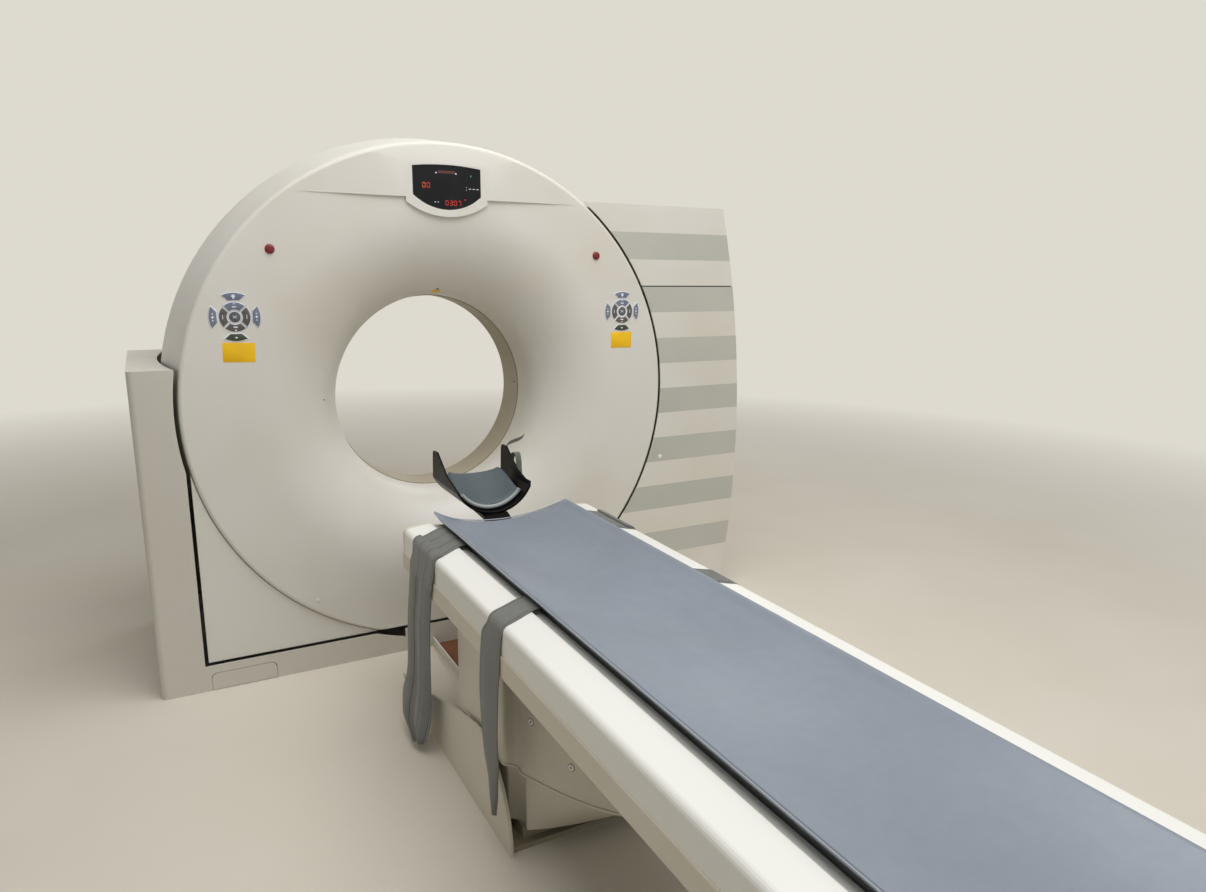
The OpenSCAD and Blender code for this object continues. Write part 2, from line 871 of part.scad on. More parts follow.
module bore_ring() {
    color([0.78, 0.74, 0.60])
        around_bore([
            [bore_r, -ring_front], [bore_r + ring_wall, -ring_front],
            [bore_r + ring_wall, ring_back - 12], [bore_r + ring_wall + 14, ring_back - 12],
            [bore_r + ring_wall + 14, ring_back], [bore_r, ring_back]
        ]);
}

// The box that holds a corner panel, from the face back by the given depth
module corner_box(wall, y0, y1) {
    block(
        -corner_x + wall, -chord(rim_r, belly_z), y0, y1,
        belly_h - corner_low + wall, axis_h
    );
}

// One square corner panel, whose returned edge hugs the drum as it widens over the given run
module corner_panel(run) {
    wall = 4;
    hug = rim_r + max(0, (corner_depth - rim_round) * (waist_r - rim_r) / run) + seat;
    y0 = corner_back - front_y;
    y1 = corner_depth - front_y;
    difference() {
        corner_box(0, y0, y1);
        difference() {
            corner_box(wall, y0 + wall, y1 + 1);
            along_bore(hug + wall, y0, y1 + 2, 720);
        }
        along_bore(rim_r + corner_gap, y0 - 1, y0 + wall, 720);
        along_bore(hug, y0 + wall - e, y1 + 1, 720);
    }
}

module corner_panels() {
    color(WHITE) {
        corner_panel(front_y - parting_y - rim_round);
        // The same panel closes the corner at the rear
        translate([0, rear_y - front_y, 0])
            mirror([0, 1, 0]) corner_panel(rear_y + parting_y - rim_round - 4);
    }
}

module display_panel() {
    color(DARK)
        difference() {
            union() {
                on_face(0, 0) translate([0, 0, -20]) linear_extrude(20 + brow_t - 2) shield(-0.6);
                // Flange that sits behind the cover
                on_face(0, 0)
                    translate([0, 0, -cover_wall - 3 - seat])
                        linear_extrude(3)
                            difference() {
                                shield(12);
                                circle(r = mouth_r + 1, $fn = 240);
                            }
            }
            // Recess behind the window for the boards
            on_face(0, 0) translate([0, 0, -21]) linear_extrude(16) shield(-12);
        }
}

module rotor_bearing() {
    color([0.75, 0.76, 0.78])
        difference() {
            along_bore(race_r + 60, rotor_y + rotor_t + 5, frame_y);
            along_bore(race_r, rotor_y, frame_y + 1);
        }
}

// Keys

module key(side, i) {
    shade = i == 0 ? 0.38 : (i <= 4 ? 0.45 : 0.62);
    color([shade, shade, shade + 0.03])
        on_face(side * panel_x, panel_h)
            translate([0, 0, -key_depth]) linear_extrude(key_depth + key_proud) key_shape(i, 0);
}

module stop_button(side) {
    color([0.75, 0.10, 0.10])
        on_face(side * stop_x, stop_h)
            translate([0, 0, -key_depth]) cylinder(r = stop_r, h = key_depth + stop_proud);
}

// Rotor

module rotor_disc() {
    back = rotor_y + rotor_t;
    color([0.62, 0.64, 0.66])
        difference() {
            union() {
                along_bore(rotor_r, rotor_y, back);
                along_bore(race_r - run_gap, back - 1, frame_y - 2);
            }
            along_bore(throat_r + 14, rotor_y - 1, back + 1);
            along_bore(race_r - 36, back, frame_y + 1);
            for (a = [45, 135, 225, 315])
                translate([0, rotor_y - 1, axis_h])
                    rotate([0, a, 0])
                        translate([640, 0, 0]) rotate([-90, 0, 0]) cylinder(r = 60, h = rotor_t + 2);
        }
}

module xray_tube() {
    color([0.70, 0.70, 0.66])
        translate([0, 0, axis_h + focus_h + 80])
            rotate([90, 0, 0]) {
                translate([0, 0, -rotor_y]) cylinder(r = 95, h = 190);
                translate([0, 0, 190 - rotor_y]) cylinder(r1 = 95, r2 = 60, h = 30);
                // High-voltage sockets
                for (x = [-50, 50])
                    translate([x, 20, 180]) cylinder(r = 16, h = 55);
            }
}

module collimator() {
    color([0.30, 0.32, 0.35])
        difference() {
            along_y(-75, rotor_y)
                translate([0, axis_h])
                    polygon([
                        [-70, focus_h - 16], [70, focus_h - 16],
                        [120, focus_h - 100], [-120, focus_h - 100]
                    ]);
            // Slit that lets the beam through
            block(-60, 60, -38, -28, axis_h + focus_h - 120, axis_h + focus_h);
        }
}

module detector_arc() {
    color([0.20, 0.22, 0.26])
        along_y(-85, rotor_y)
            translate([0, axis_h + focus_h])
                intersection() {
                    difference() {
                        circle(r = detector_r + 42, $fn = 240);
                        circle(r = detector_r, $fn = 240);
                    }
                    polygon([
                        [0, 0],
                        1.6 * detector_r * [sin(fan_half), -cos(fan_half)],
                        1.6 * detector_r * [-sin(fan_half), -cos(fan_half)]
                    ]);
                }
}

module generator() {
    color([0.66, 0.66, 0.62]) {
        block(
            -generator_in - generator_w, -generator_in,
            -generator_front, rotor_y, axis_h - 130, axis_h + 130
        );
        // Terminal towers
        for (z = [-70, 70])
            translate([-generator_in - generator_w / 2, 1 - generator_front, axis_h + z])
                rotate([90, 0, 0]) cylinder(r = 26, h = 40);
    }
}

module tube_cooler() {
    color([0.60, 0.62, 0.66]) {
        block(cooler_in, cooler_in + cooler_w, -60, rotor_y, axis_h - 120, axis_h + 120);
        // Fins in front of the radiator block
        pitch = (cooler_w - 6) / 11;
        for (i = [0:11])
            block(
                cooler_in + i * pitch, cooler_in + i * pitch + 6,
                -120, -59, axis_h - 115, axis_h + 115
            );
    }
}

module slip_ring() {
    y0 = rotor_y + rotor_t;
    color([0.72, 0.58, 0.32])
        difference() {
            union() {
                along_bore(race_r - 60, y0, y0 + 34);
                for (i = [0:2])
                    along_bore(race_r - 54, y0 + 4 + i * 10, y0 + 10 + i * 10);
            }
            along_bore(throat_r + 28, y0 - 1, y0 + 40);
        }
}

// Pedestal

// Points of the belly from right to left, inset by a wall
function belly(inset) = [
    for (i = [12:-1:-12])
        let (t = i / 12)
            [
                (belly_half - inset) * t,
                -(belly_start + (belly_out - inset) * (1 - pow(abs(t), 2.2)))
            ]
];

// Points of the plan's right side, from the head end to the belly: corner, straight, bead, flute
function plan_right(inset) =
    let (
        round_r = 36 - inset,
        corner = [cover_half - 36, -cover_head - 36],
        bead_r = 20,
        flute_r = 30,
        bead_c = [cover_half - bead_r, 66 - belly_start],
        step = 24,
        turn = acos(step / (bead_r + flute_r)),
        flute_c = bead_c + [step, -(bead_r + flute_r) * sin(turn)]
    )
    concat(
        [for (a = [90:-15:0]) corner + round_r * [cos(a), sin(a)]],
        [for (i = [0:5]) bead_c + (bead_r - inset) * [cos(turn * i / 5), -sin(turn * i / 5)]],
        [
            for (i = [1:6])
                let (a = 180 - turn + (turn + 25) * i / 6)
                    flute_c + (flute_r + inset) * [cos(a), sin(a)]
        ]
    );

// Plan of the pedestal's covers, symmetric about the middle
module pedestal_plan(inset) {
    right = plan_right(inset);
    polygon(concat(right, belly(inset), [for (p = reversed(right)) [-p[0], p[1]]]));
}

module pedestal_foot() {
    color([0.50, 0.49, 0.46])
        difference() {
            union() {
                block(-foot_half + panel_t, foot_half - panel_t, -foot_end, -foot_head, 0, sill_t);
                block(
                    -cover_half + 30, cover_half - 30,
                    -foot_end + 20, -foot_head - 20,
                    sill_t - 1, lower_h - 2
                );
            }
            block(
                -cover_half + 50, cover_half - 50,
                -foot_end + 40, -foot_head - 40,
                sill_t, lower_h
            );
            for (x = [-1, 1], y = [-1, 1])
                translate([x * foot_anchor_x / 2, y * foot_anchor_y / 2 - (foot_head + foot_end) / 2, -e])
                    cylinder(r = anchor_r - 1, h = lower_h);
        }
}

// Side view of a side panel: it rises from the head end and drops in a curve to the foot end
module side_panel_outline() {
    crest_y = foot_head + 415;
    intersection() {
        polygon([
            [-foot_head, 0], [-foot_head, 125],
            [-crest_y + 240, 178], [-crest_y + 100, 214], [-crest_y + 30, 229],
            [-crest_y, 232], [-foot_end - 20, 232], [-foot_end - 20, 0]
        ]);
        union() {
            translate([-crest_y, 0]) square([500, 240]);
            translate([-crest_y, 0]) scale_circle(foot_end + 16 - crest_y, 232);
        }
    }
}

// A quarter of an oval with the given reach and height, as a polygon
module scale_circle(reach, rise) {
    polygon(concat([[1, 0]], [[1, rise]], [for (a = [90:10:180]) [reach * cos(a), rise * sin(a)]]));
}

module side_panels() {
    color(WHITE)
        both_sides() along_x(foot_half - panel_t + seat, foot_half + seat) side_panel_outline();
}

// The lower cover's belly, which tapers from the full belly down to its bottom edge
module belly_taper(inset, out) {
    half = belly_half - inset;
    translate([0, -belly_start, lower_h])
        linear_extrude(taper_h, scale = [1, (belly_out - inset) / out], slices = 1)
            polygon(concat(
                [[-cover_half, 0], [-cover_half, 450], [cover_half, 450], [cover_half, 0]],
                [
                    for (i = [12:-1:-12])
                        [half * i / 12, -out * (1 - pow(abs(i / 12), 2.2))]
                ]
            ));
    translate([0, 0, lower_h + taper_h - e])
        linear_extrude(lower_top - lower_h - taper_h + 1) pedestal_plan(inset);
}

module lower_solid(inset, out) {
    intersection() {
        translate([0, 0, lower_h]) linear_extrude(lower_top - lower_h) pedestal_plan(inset);
        belly_taper(inset, out);
    }
}

module lower_cover() {
    inset = 2 * (shell + nest_gap);
    color(WHITE)
        difference() {
            lower_solid(inset, lower_out);
            translate([0, 0, -e]) lower_solid(inset + shell, lower_out - shell);
            translate([0, 0, 1]) lower_solid(inset + shell, lower_out - shell);
        }
    // Brackets down to the plinth
    color(STEEL)
        both_sides()
            block(cover_half - inset - shell - 46, cover_half - inset - shell + 1,
                -column_mid_y - 40, -column_mid_y + 40, lower_h - 2, lower_h + 8);
}

// Half the width and depth of the column's nth stage, drawn in by its walls
function stage_x(n) = column_w / 2 - n * (stage_wall + seat);
function stage_y(n) = column_d / 2 - n * (stage_wall + seat);

module tube_stage(n, z0, z1) {
    y = -column_mid_y;
    x = stage_x(n);
    d = stage_y(n);
    w = stage_wall;
    difference() {
        block(-x, x, y - d, y + d, z0, z1);
        block(w - x, x - w, y - d + w, y + d - w, z0 - 1, z1 + 1);
    }
}

module column_outer() {
    y = -column_mid_y;
    color(STEEL)
        difference() {
            union() {
                tube_stage(0, sill_t, lower_top - 4);
                block(
                    -stage_x(0) - 30, stage_x(0) + 30,
                    y - stage_y(0) - 30, y + stage_y(0) + 30, sill_t, sill_t + 10
                );
            }
            block(
                stage_wall - stage_x(0), stage_x(0) - stage_wall,
                y - stage_y(0) + stage_wall, y + stage_y(0) - stage_wall,
                sill_t - 1, sill_t + 11
            );
        }
}

module column_middle() {
    color([0.66, 0.68, 0.70]) tube_stage(1, lip_h - 80, middle_top);
    // Arms that carry the middle cover
    color([0.66, 0.68, 0.70])
        both_sides()
            block(
                stage_x(1) - 1, cover_half - 2 * shell - nest_gap,
                -column_mid_y - 20, -column_mid_y + 20,
                middle_top - 9, middle_top - 1
            );
}

module middle_cover() {
    inset = shell + nest_gap;
    color(WHITE)
        translate([0, 0, middle_h])
            linear_extrude(middle_top - middle_h)
                difference() {
                    pedestal_plan(inset);
                    pedestal_plan(inset + shell);
                }
}

// Moving table

module upper_cover() {
    color(WHITE)
        difference() {
            union() {
                translate([0, 0, lip_h]) linear_extrude(fascia_h - seat - lip_h) pedestal_plan(0);
                translate([0, 0, lip_h]) linear_extrude(5) pedestal_plan(-lip_out);
            }
            translate([0, 0, lip_h - 1]) linear_extrude(fascia_h - seat - lip_h + 2) pedestal_plan(shell);
        }
}

// Section of a long beam: flat below, and hollowed to the cradle's underside above
function beam_section(z) = concat(
    [[beam_in, z], [beam_in + beam_w, z]],
    [
        for (i = [5:-1:0])
            let (x = beam_in + beam_w * i / 5)
                [x, axis_h - sqrt(pow(cradle_r + seat, 2) - pow(x, 2))]
    ]
);

module table_frame() {
    head = -table_head - 16;
    foot = -table_foot + 16;
    z = fascia_h + rail_wall;
    color(STEEL) {
        both_sides() {
            // Long beams whose top edges carry the cradle
            along_y(foot, head) polygon(beam_section(z + seat));
            // Flange under the rails
            block(beam_in + 1, table_half - 20, foot, head, z + seat, z + 6);
        }
        for (y = [head - 60, -cover_head - 30, -belly_start - 60, (foot - belly_start) / 2, foot])
            block(-beam_in - 1, beam_in + 1, y, y + 60, z + seat, z + 40);
        // Head plate over the lifting column
        block(-column_w, column_w, -column_mid_y - 150, -column_mid_y + 150, z + seat, z + 8);
    }
    color([0.66, 0.68, 0.70]) {
        tube_stage(2, lip_h, z + 6);
    }
}

// Section of one rail, open inside and below
module rail_section(inset) {
    r = rail_round - inset;
    o = table_half - inset;
    polygon(concat(
        [[rail_in + inset, rail_split - (inset > 0 ? 1 : 0)], [rail_in + inset, rail_inner_h - inset]],
        [for (a = [80:-16:0]) [o - r + r * cos(a), rail_h - inset - r + r * sin(a)]],
        [[o, rail_split - (inset > 0 ? 1 : 0)]]
    ));
}

module top_rails() {
    color([0.88, 0.88, 0.86])
        both_sides()
            along_y(-table_foot + 14, -table_head - 14) {
                difference() {
                    rail_section(0);
                    rail_section(rail_wall);
                }
                // Ledge beside the cradle
                translate([rail_in - ledge_w, rail_inner_h - ledge_down - rail_wall])
                    square([ledge_w + 1, rail_wall]);
            }
}

// Outer edge of a fascia up to the given height, with rounded corners
function fascia_edge(top) =
    let (r = 4, x = table_half + fascia_out - r)
    concat(
        [for (a = [-90:22.5:0]) [x + r * cos(a), fascia_h + r + r * sin(a)]],
        [for (a = [0:22.5:90]) [x + r * cos(a), top - r + r * sin(a)]]
    );

module side_fascias() {
    inner = table_half + fascia_out - rail_wall;
    top = rail_split - seat;
    color([0.80, 0.78, 0.72])
        both_sides()
            along_y(-table_foot + 14, -table_head - 14)
                polygon(concat(
                    [[rail_in + 6, fascia_h]],
                    fascia_edge(top),
                    [
                        [inner, top], [inner, fascia_h + rail_wall],
                        [rail_in + 6, fascia_h + rail_wall]
                    ]
                ));
}

module cap_section() {
    difference() {
        union() {
            for (s = [0, 1])
                mirror([s, 0, 0]) {
                    rail_section(0);
                    polygon(concat(
                        [[0, fascia_h]], fascia_edge(rail_split),
                        [[table_half - 4, rail_split], [table_half - 4, rail_split + 1]],
                        [[0, rail_split + 1]]
                    ));
                }
            translate([-rail_in - 1, fascia_h]) square([2 * rail_in + 2, rail_inner_h - fascia_h - 10]);
        }
        translate([0, axis_h]) circle(r = bore_r - 0.5, $fn = 180);
    }
}

module end_caps() {
    color([0.84, 0.83, 0.79]) {
        along_y(-table_head - 14 + seat, -table_head) cap_section();
        along_y(-table_foot, -table_foot + 14 - seat) cap_section();
    }
}

// Path of a strap over the rail, lifted off it by the given distance
function strap_path(lift, tip_h) = concat(
    [[-rail_in - 4, rail_inner_h - 0.5 + lift]],
    [
        for (a = [80:-16:0])
            [
                rail_round - table_half - (rail_round + lift) * cos(a),
                rail_h - rail_round + (rail_round + lift) * sin(a)
            ]
    ],
    [
        [-table_half - fascia_out - lift, rail_split],
        [-table_half - fascia_out - lift, tip_h]
    ]
);

// One strap that lies over the rail and hangs down its side
module strap(at, w, tip_h) {
    along_y(-table_head - at - w, -table_head - at)
        polygon(concat(strap_path(seat, tip_h), reversed(strap_path(strap_t, tip_h))));
}

module straps() {
    color([0.42, 0.42, 0.41])
        both_sides() {
            strap(strap_wide_at, strap_wide_w, strap_wide_tip);
            strap(strap_slim_at, strap_slim_w, strap_slim_tip);
        }
}

// Cradle

cradle_top_edge = -sqrt(pow(cradle_r, 2) - pow(cradle_half, 2)) + cradle_edge;
cradle_top_mid = -cradle_r + cradle_mid;
dish_r = arch_r(cradle_half, cradle_top_edge - cradle_top_mid);
dish_c = cradle_top_mid + dish_r;
mat_top_mid = cradle_top_mid + mat_mid;
mat_top_edge = dish_c - sqrt(pow(dish_r - seat, 2) - pow(mat_half, 2)) + mat_edge;
mat_r = arch_r(mat_half, mat_top_edge - mat_top_mid);
mat_c = mat_top_mid + mat_r;

module cradle() {
    color([0.22, 0.22, 0.24])
        along_y(-mat_head - mat_len - 4, -mat_head + 6)
            translate([0, axis_h])
                intersection() {
                    difference() {
                        circle(r = cradle_r, $fn = 240);
                        translate([0, dish_c]) circle(r = dish_r, $fn = 240);
                    }
                    translate([-cradle_half, -cradle_r - 1]) square([2 * cradle_half, cradle_r]);
                }
}

module mat() {
    color([0.45, 0.50, 0.56])
        along_y(-mat_head - mat_len, -mat_head)
            translate([0, axis_h])
                intersection() {
                    difference() {
                        translate([0, dish_c]) circle(r = dish_r - seat, $fn = 240);
                        translate([0, mat_c]) circle(r = mat_r, $fn = 240);
                    }
                    translate([-mat_half, -cradle_r - 1]) square([2 * mat_half, cradle_r]);
                }
}

// Head holder: a bent black bracket with tall side wings on a tongue

holder_c = axis_h - holder_down;
holder_y0 = -holder_foot;
holder_y1 = holder_y0 + holder_len;
holder_tip = axis_h - wing_down;
holder_low = holder_c - holder_r;

module head_holder() {
    out = holder_r + holder_t;
    side = wing_in + holder_t - 1;
    base = holder_c - chord(out, side) + 1;
    color(DARK) {
        along_y(holder_y0, holder_y1)
            intersection() {
                translate([0, holder_c])
                    difference() {
                        circle(r = out);
                        circle(r = holder_r);
                    }
                translate([-side, holder_c - out - 1])
                    square([2 * side, out + 1 - chord(out, side) + 24]);
            }
        // Side wings, tallest at the head end
        both_sides()
            along_x(wing_in, wing_in + holder_t)
                polygon([
                    [holder_y0, base], [holder_y1, base],
                    [holder_y1 - 6, holder_tip - 10], [holder_y1 - 14, holder_tip],
                    [holder_y1 - 50, holder_tip + 1], [holder_y1 - 64, holder_tip - 8],
                    [holder_y1 - 144, holder_tip - 60], [holder_y0 + 30, base + 12]
                ]);
        // Tongue that plugs on the cradle's end
        along_x(-42, 42)
            polygon([
                [holder_y0 + 90, holder_low - 5], [holder_y0, holder_low - 5],
                [-mat_head + 6 + seat, axis_h + cradle_top_mid - 4],
                [-mat_head + 6 + seat, axis_h + cradle_top_mid - 20],
                [holder_y0, holder_low - 17], [holder_y0 + 90, holder_low - 12]
            ]);
    }
}

module head_pad() {
    y0 = holder_y0 + 16;
    half = wing_in - 14;
    color([0.40, 0.43, 0.46])
        difference() {
            along_y(y0, holder_y1 - 58)
                intersection() {
                    translate([0, holder_c]) circle(r = holder_r - seat);
                    translate([-half, holder_low]) square([2 * half, holder_r - 24]);
                }
            // The dished top rises towards the head end
            translate([0, y0, holder_c])
                rotate([20 - 90, 0, 0])
                    translate([0, 0, -100]) cylinder(r = holder_r - 16, h = 500);
        }
}

// One line for each node

base_frame();
support_posts();
trunnion_bearings();
tilt_drive();
left_column_cover();
base_skirts();
service_hatch();
side_cover_upper();
side_cover_lower();
floor_duct();
pedestal_foot();
side_panels();
lower_cover();
column_outer();
tilt_frame();
front_cover();
rear_cover();
bore_ring();
corner_panels();
display_panel();
rotor_bearing();
for (side = SIDES, i = [0:8])
    key(side[1], i);
for (side = SIDES)
    stop_button(side[1]);
rotor_disc();
xray_tube();
collimator();
detector_arc();
generator();
slip_ring();
tube_cooler();
middle_cover();
column_middle();
upper_cover();
table_frame();
top_rails();
side_fascias();
end_caps();
straps();
cradle();
mat();
head_holder();
head_pad();
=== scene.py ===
"""CT scanner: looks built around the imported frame. Metres, +Z up, +Y from the table into the bore."""

import math

import bmesh
import bpy
from mathutils import Matrix, Vector, noise


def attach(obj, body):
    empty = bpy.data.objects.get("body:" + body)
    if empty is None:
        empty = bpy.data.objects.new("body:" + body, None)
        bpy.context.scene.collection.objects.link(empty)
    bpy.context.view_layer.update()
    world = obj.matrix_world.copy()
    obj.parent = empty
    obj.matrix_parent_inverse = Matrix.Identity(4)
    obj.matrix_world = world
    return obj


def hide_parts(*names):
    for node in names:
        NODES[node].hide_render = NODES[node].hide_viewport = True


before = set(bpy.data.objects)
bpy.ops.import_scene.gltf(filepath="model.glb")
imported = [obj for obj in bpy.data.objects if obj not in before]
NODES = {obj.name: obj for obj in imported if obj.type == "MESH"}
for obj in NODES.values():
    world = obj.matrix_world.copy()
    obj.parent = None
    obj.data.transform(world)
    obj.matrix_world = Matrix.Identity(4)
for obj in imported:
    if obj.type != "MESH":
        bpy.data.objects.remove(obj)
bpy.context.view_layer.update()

# The bore's axis, the front face and the middle of a key panel, counted from the axis
AXIS_H = 0.905
FACE_Y = -0.355
PANEL_X, PANEL_H = 0.68, 0.301
KEYS = ("centre", "ring_up", "ring_left", "ring_down", "ring_right",
        "wing_up", "wing_left", "wing_down", "wing_right")


def add_object(name, data):
    obj = bpy.data.objects.new(name, data)
    bpy.context.scene.collection.objects.link(obj)
    return obj


# Camera, at the photograph's place and angle
CAM_POS = Vector((-0.926, -3.138, 1.362))
CAM_YAW, CAM_PITCH, CAM_ROLL = (math.radians(a) for a in (28.833, -12.649, 0.721))
PHOTO_W = 1206.0
FOCAL_PX = 830.365
SHIFT_PX = 9.5


def make_camera():
    turn = (Matrix.Rotation(-CAM_YAW, 4, "Z") @ Matrix.Rotation(math.pi / 2 + CAM_PITCH, 4, "X")
            @ Matrix.Rotation(CAM_ROLL, 4, "Z"))
    data = bpy.data.cameras.new("camera")
    data.sensor_fit = "HORIZONTAL"
    data.sensor_width = 36.0
    data.lens = FOCAL_PX / PHOTO_W * 36.0
    data.shift_y = SHIFT_PX / PHOTO_W
    data.clip_end = 100
    cam = add_object("camera", data)
    cam.matrix_world = Matrix.Translation(CAM_POS) @ turn
    bpy.context.scene.camera = cam


# Node helpers for the materials
def rgb(*levels):
    """Linear colour of an 8-bit screen colour."""
    shares = [level / 255.0 for level in levels]
    return tuple(c / 12.92 if c <= 0.04045 else ((c + 0.055) / 1.055) ** 2.4 for c in shares) + (1.0,)


class Tree:
    """Short calls for the nodes of a material or of the world."""

    def __init__(self, block):
        block.use_nodes = True
        self.nodes = block.node_tree.nodes
        self.links = block.node_tree.links

    def link(self, a, b):
        self.links.new(a, b)

    def feed(self, socket, value):
        """Links a socket to another one, or sets it where the value is plain."""
        if isinstance(value, bpy.types.NodeSocket):
            self.link(value, socket)
        else:
            socket.default_value = value

    def node(self, kind, inputs=()):
        """A new node and its inputs, given as pairs of a name or place and a value."""
        node = self.nodes.new("ShaderNode" + kind)
        for key, value in inputs:
            self.feed(node.inputs[key], value)
        return node

    def math(self, op, a, b=0.0):
        node = self.node("Math", ((0, a), (1, b)))
        node.operation = op
        return node.outputs[0]

    def times(self, a, b):
        return self.math("MULTIPLY", a, b)

    def mix(self, fac, a, b):
        node = self.nodes.new("ShaderNodeMix")
        node.data_type = "RGBA"
        for i, v in (("Factor", fac), (6, a), (7, b)):
            self.feed(node.inputs[i], v)
        return node.outputs[2]

    def unlit_rays(self):
        """1 for the rays of the camera and of reflections, 0 for those that light the room."""
        rays = self.node("LightPath").outputs
        return self.math("MAXIMUM", rays["Is Camera Ray"], rays["Is Glossy Ray"])


class Look(Tree):
    """A material with its shader and short calls for what feeds it."""

    def __init__(self, name, color, rough, metal=0.0, **sockets):
        self.mat = bpy.data.materials.new(name)
        super().__init__(self.mat)
        self.shader = self.nodes["Principled BSDF"]
        sockets.update(Base_Color=color, Roughness=rough, Metallic=metal)
        for key, value in sockets.items():
            self.shader.inputs[key.replace("_", " ")].default_value = value
        self.place = self.nodes.new("ShaderNodeTexCoord").outputs["Object"]
        self.mat.diffuse_color = color

    def noise(self, scale, detail, rough=0.55, stretch=None):
        return self.node("TexNoise", (("Scale", scale), ("Detail", detail), ("Roughness", rough),
                                      ("Vector", self.scaled(stretch)))).outputs["Fac"]

    def pebbles(self, scale):
        node = self.node("TexVoronoi", (("Scale", scale), ("Vector", self.place)))
        node.feature = "DISTANCE_TO_EDGE"
        return node.outputs["Distance"]

    def scaled(self, stretch):
        if stretch is None:
            return self.place
        node = self.node("VectorMath", ((0, self.place), (1, stretch)))
        node.operation = "MULTIPLY"
        return node.outputs[0]

    def axis(self, i):
        return self.node("SeparateXYZ", ((0, self.place),)).outputs[i]

    def span(self, value, a, b, lo=0.0, hi=1.0):
        """The value's place between a and b, clamped, as a value from lo to hi."""
        return self.node("MapRange", (("Value", value), ("From Min", a), ("From Max", b),
                                      ("To Min", lo), ("To Max", hi))).outputs["Result"]

    def cloud(self, a, b, *noise):
        """Noise with its levels from a to b spread from 0 to 1."""
        return self.span(self.noise(*noise), a, b)

    def base(self):
        """What feeds the colour so far."""
        return self.shader.inputs["Base Color"].links[0].from_socket

    def paint(self, color):
        self.link(color, self.shader.inputs["Base Color"])

    def roughness(self, value):
        self.link(value, self.shader.inputs["Roughness"])

    def bump(self, height, distance, strength):
        node = self.node("Bump", (("Strength", strength), ("Distance", distance), ("Height", height)))
        normal = self.shader.inputs["Normal"]
        if normal.is_linked:
            self.link(normal.links[0].from_socket, node.inputs["Normal"])
        self.link(node.outputs[0], normal)


def tint(color, f):
    return tuple(min(1.0, c * f) for c in color[:3]) + (1.0,)


WHITE = rgb(222, 219, 212)
AGED = rgb(211, 204, 186)


def moulded(name, color, aged, rough, grain=0.00012, floor_dirt=False, worn=1.0):
    """Painted moulded plastic: broad yellowing, faint smudges, orange-peel grain."""
    look = Look(name, color, rough, Specular_IOR_Level=0.45)
    broad = look.cloud(0.42, 0.68, 1.6, 3)
    smudge = look.cloud(0.58, 0.8, 9.0, 6, 0.7)
    base = look.mix(look.times(broad, 0.55 * worn), color, aged)
    base = look.mix(look.times(smudge, 0.12 * worn), base, tint(aged, 0.9))
    if floor_dirt:
        low = look.span(look.axis(2), 0.0, 0.05, 1.0, 0.0)
        scuff = look.times(low, look.cloud(0.5, 0.75, 30, 6, 0.75))
        base = look.mix(look.times(scuff, 0.22), base, rgb(168, 156, 134))
    look.paint(base)
    look.roughness(look.span(look.noise(5.0, 5), 0.3, 0.7, rough - 0.07 * worn, rough + 0.1 * worn))
    look.bump(look.noise(650, 2), grain, 0.35)
    return look


BANDS_PER_M = 5.0
BANDS_FROM, BANDS_TO = 0.2, 1.52
SIDE_SEAM_Z, SIDE_SEAM_HALF = 1.2998, 0.0022


def striped_look():
    """The side cover: grey bands 100 mm high on white, and the dark seam between its pieces."""
    look = moulded("side_stripes", WHITE, AGED, 0.4)
    z = look.axis(2)
    band = look.math("LESS_THAN", look.math("FRACT", look.times(z, BANDS_PER_M)), 0.5)
    band = look.times(band, look.math("GREATER_THAN", z, BANDS_FROM))
    band = look.times(band, look.math("LESS_THAN", z, BANDS_TO))
    grey = look.mix(look.cloud(0.35, 0.65, 3.0, 4), rgb(186, 186, 177), rgb(192, 191, 182))
    banded = look.mix(band, look.base(), grey)
    off_seam = look.math("ABSOLUTE", look.math("SUBTRACT", z, SIDE_SEAM_Z))
    seam = look.math("LESS_THAN", off_seam, SIDE_SEAM_HALF)
    look.paint(look.mix(seam, banded, rgb(56, 50, 42)))
    return look


def metal(name, color, rough, brushed=None):
    """Bare metal, brushed along the given stretch."""
    look = Look(name, color, rough, 1.0)
    look.paint(look.mix(look.cloud(0.35, 0.7, 14, 5), color, tint(color, 0.82)))
    look.roughness(look.span(look.noise(60, 4, 0.6, brushed), 0.3, 0.7, rough - 0.08, rough + 0.12))
    look.bump(look.noise(240, 3, 0.6, brushed), 0.0001, 0.4)
    return look


def enamel(name, color, rough=0.45):
    """Painted metal with a fine, uneven coat."""
    look = Look(name, color, rough)
    look.paint(look.mix(look.cloud(0.4, 0.7, 11, 5), color, tint(color, 0.85)))
    look.bump(look.noise(420, 2), 0.00015, 0.3)
    return look


def vinyl(name, color, dark, rough=0.4):
    """Soft vinyl: pebbled grain, stretch marks along the length, rubbed patches."""
    look = Look(name, color, rough, Specular_IOR_Level=0.5, Sheen_Weight=0.08)
    patch = look.cloud(0.38, 0.7, 2.6, 5, 0.6)
    fine = look.cloud(0.4, 0.7, 38, 6, 0.7)
    base = look.mix(look.times(patch, 0.7), color, dark)
    look.paint(look.mix(look.times(fine, 0.18), base, tint(dark, 0.8)))
    look.roughness(look.span(look.noise(4.0, 5), 0.3, 0.7, rough - 0.06, rough + 0.12))
    look.bump(look.pebbles(430), 0.00025, 0.35)
    look.bump(look.noise(26, 5, 0.6, (3.0, 0.5, 3.0)), 0.0012, 0.35)
    return look


THREAD_PITCH = 0.0022


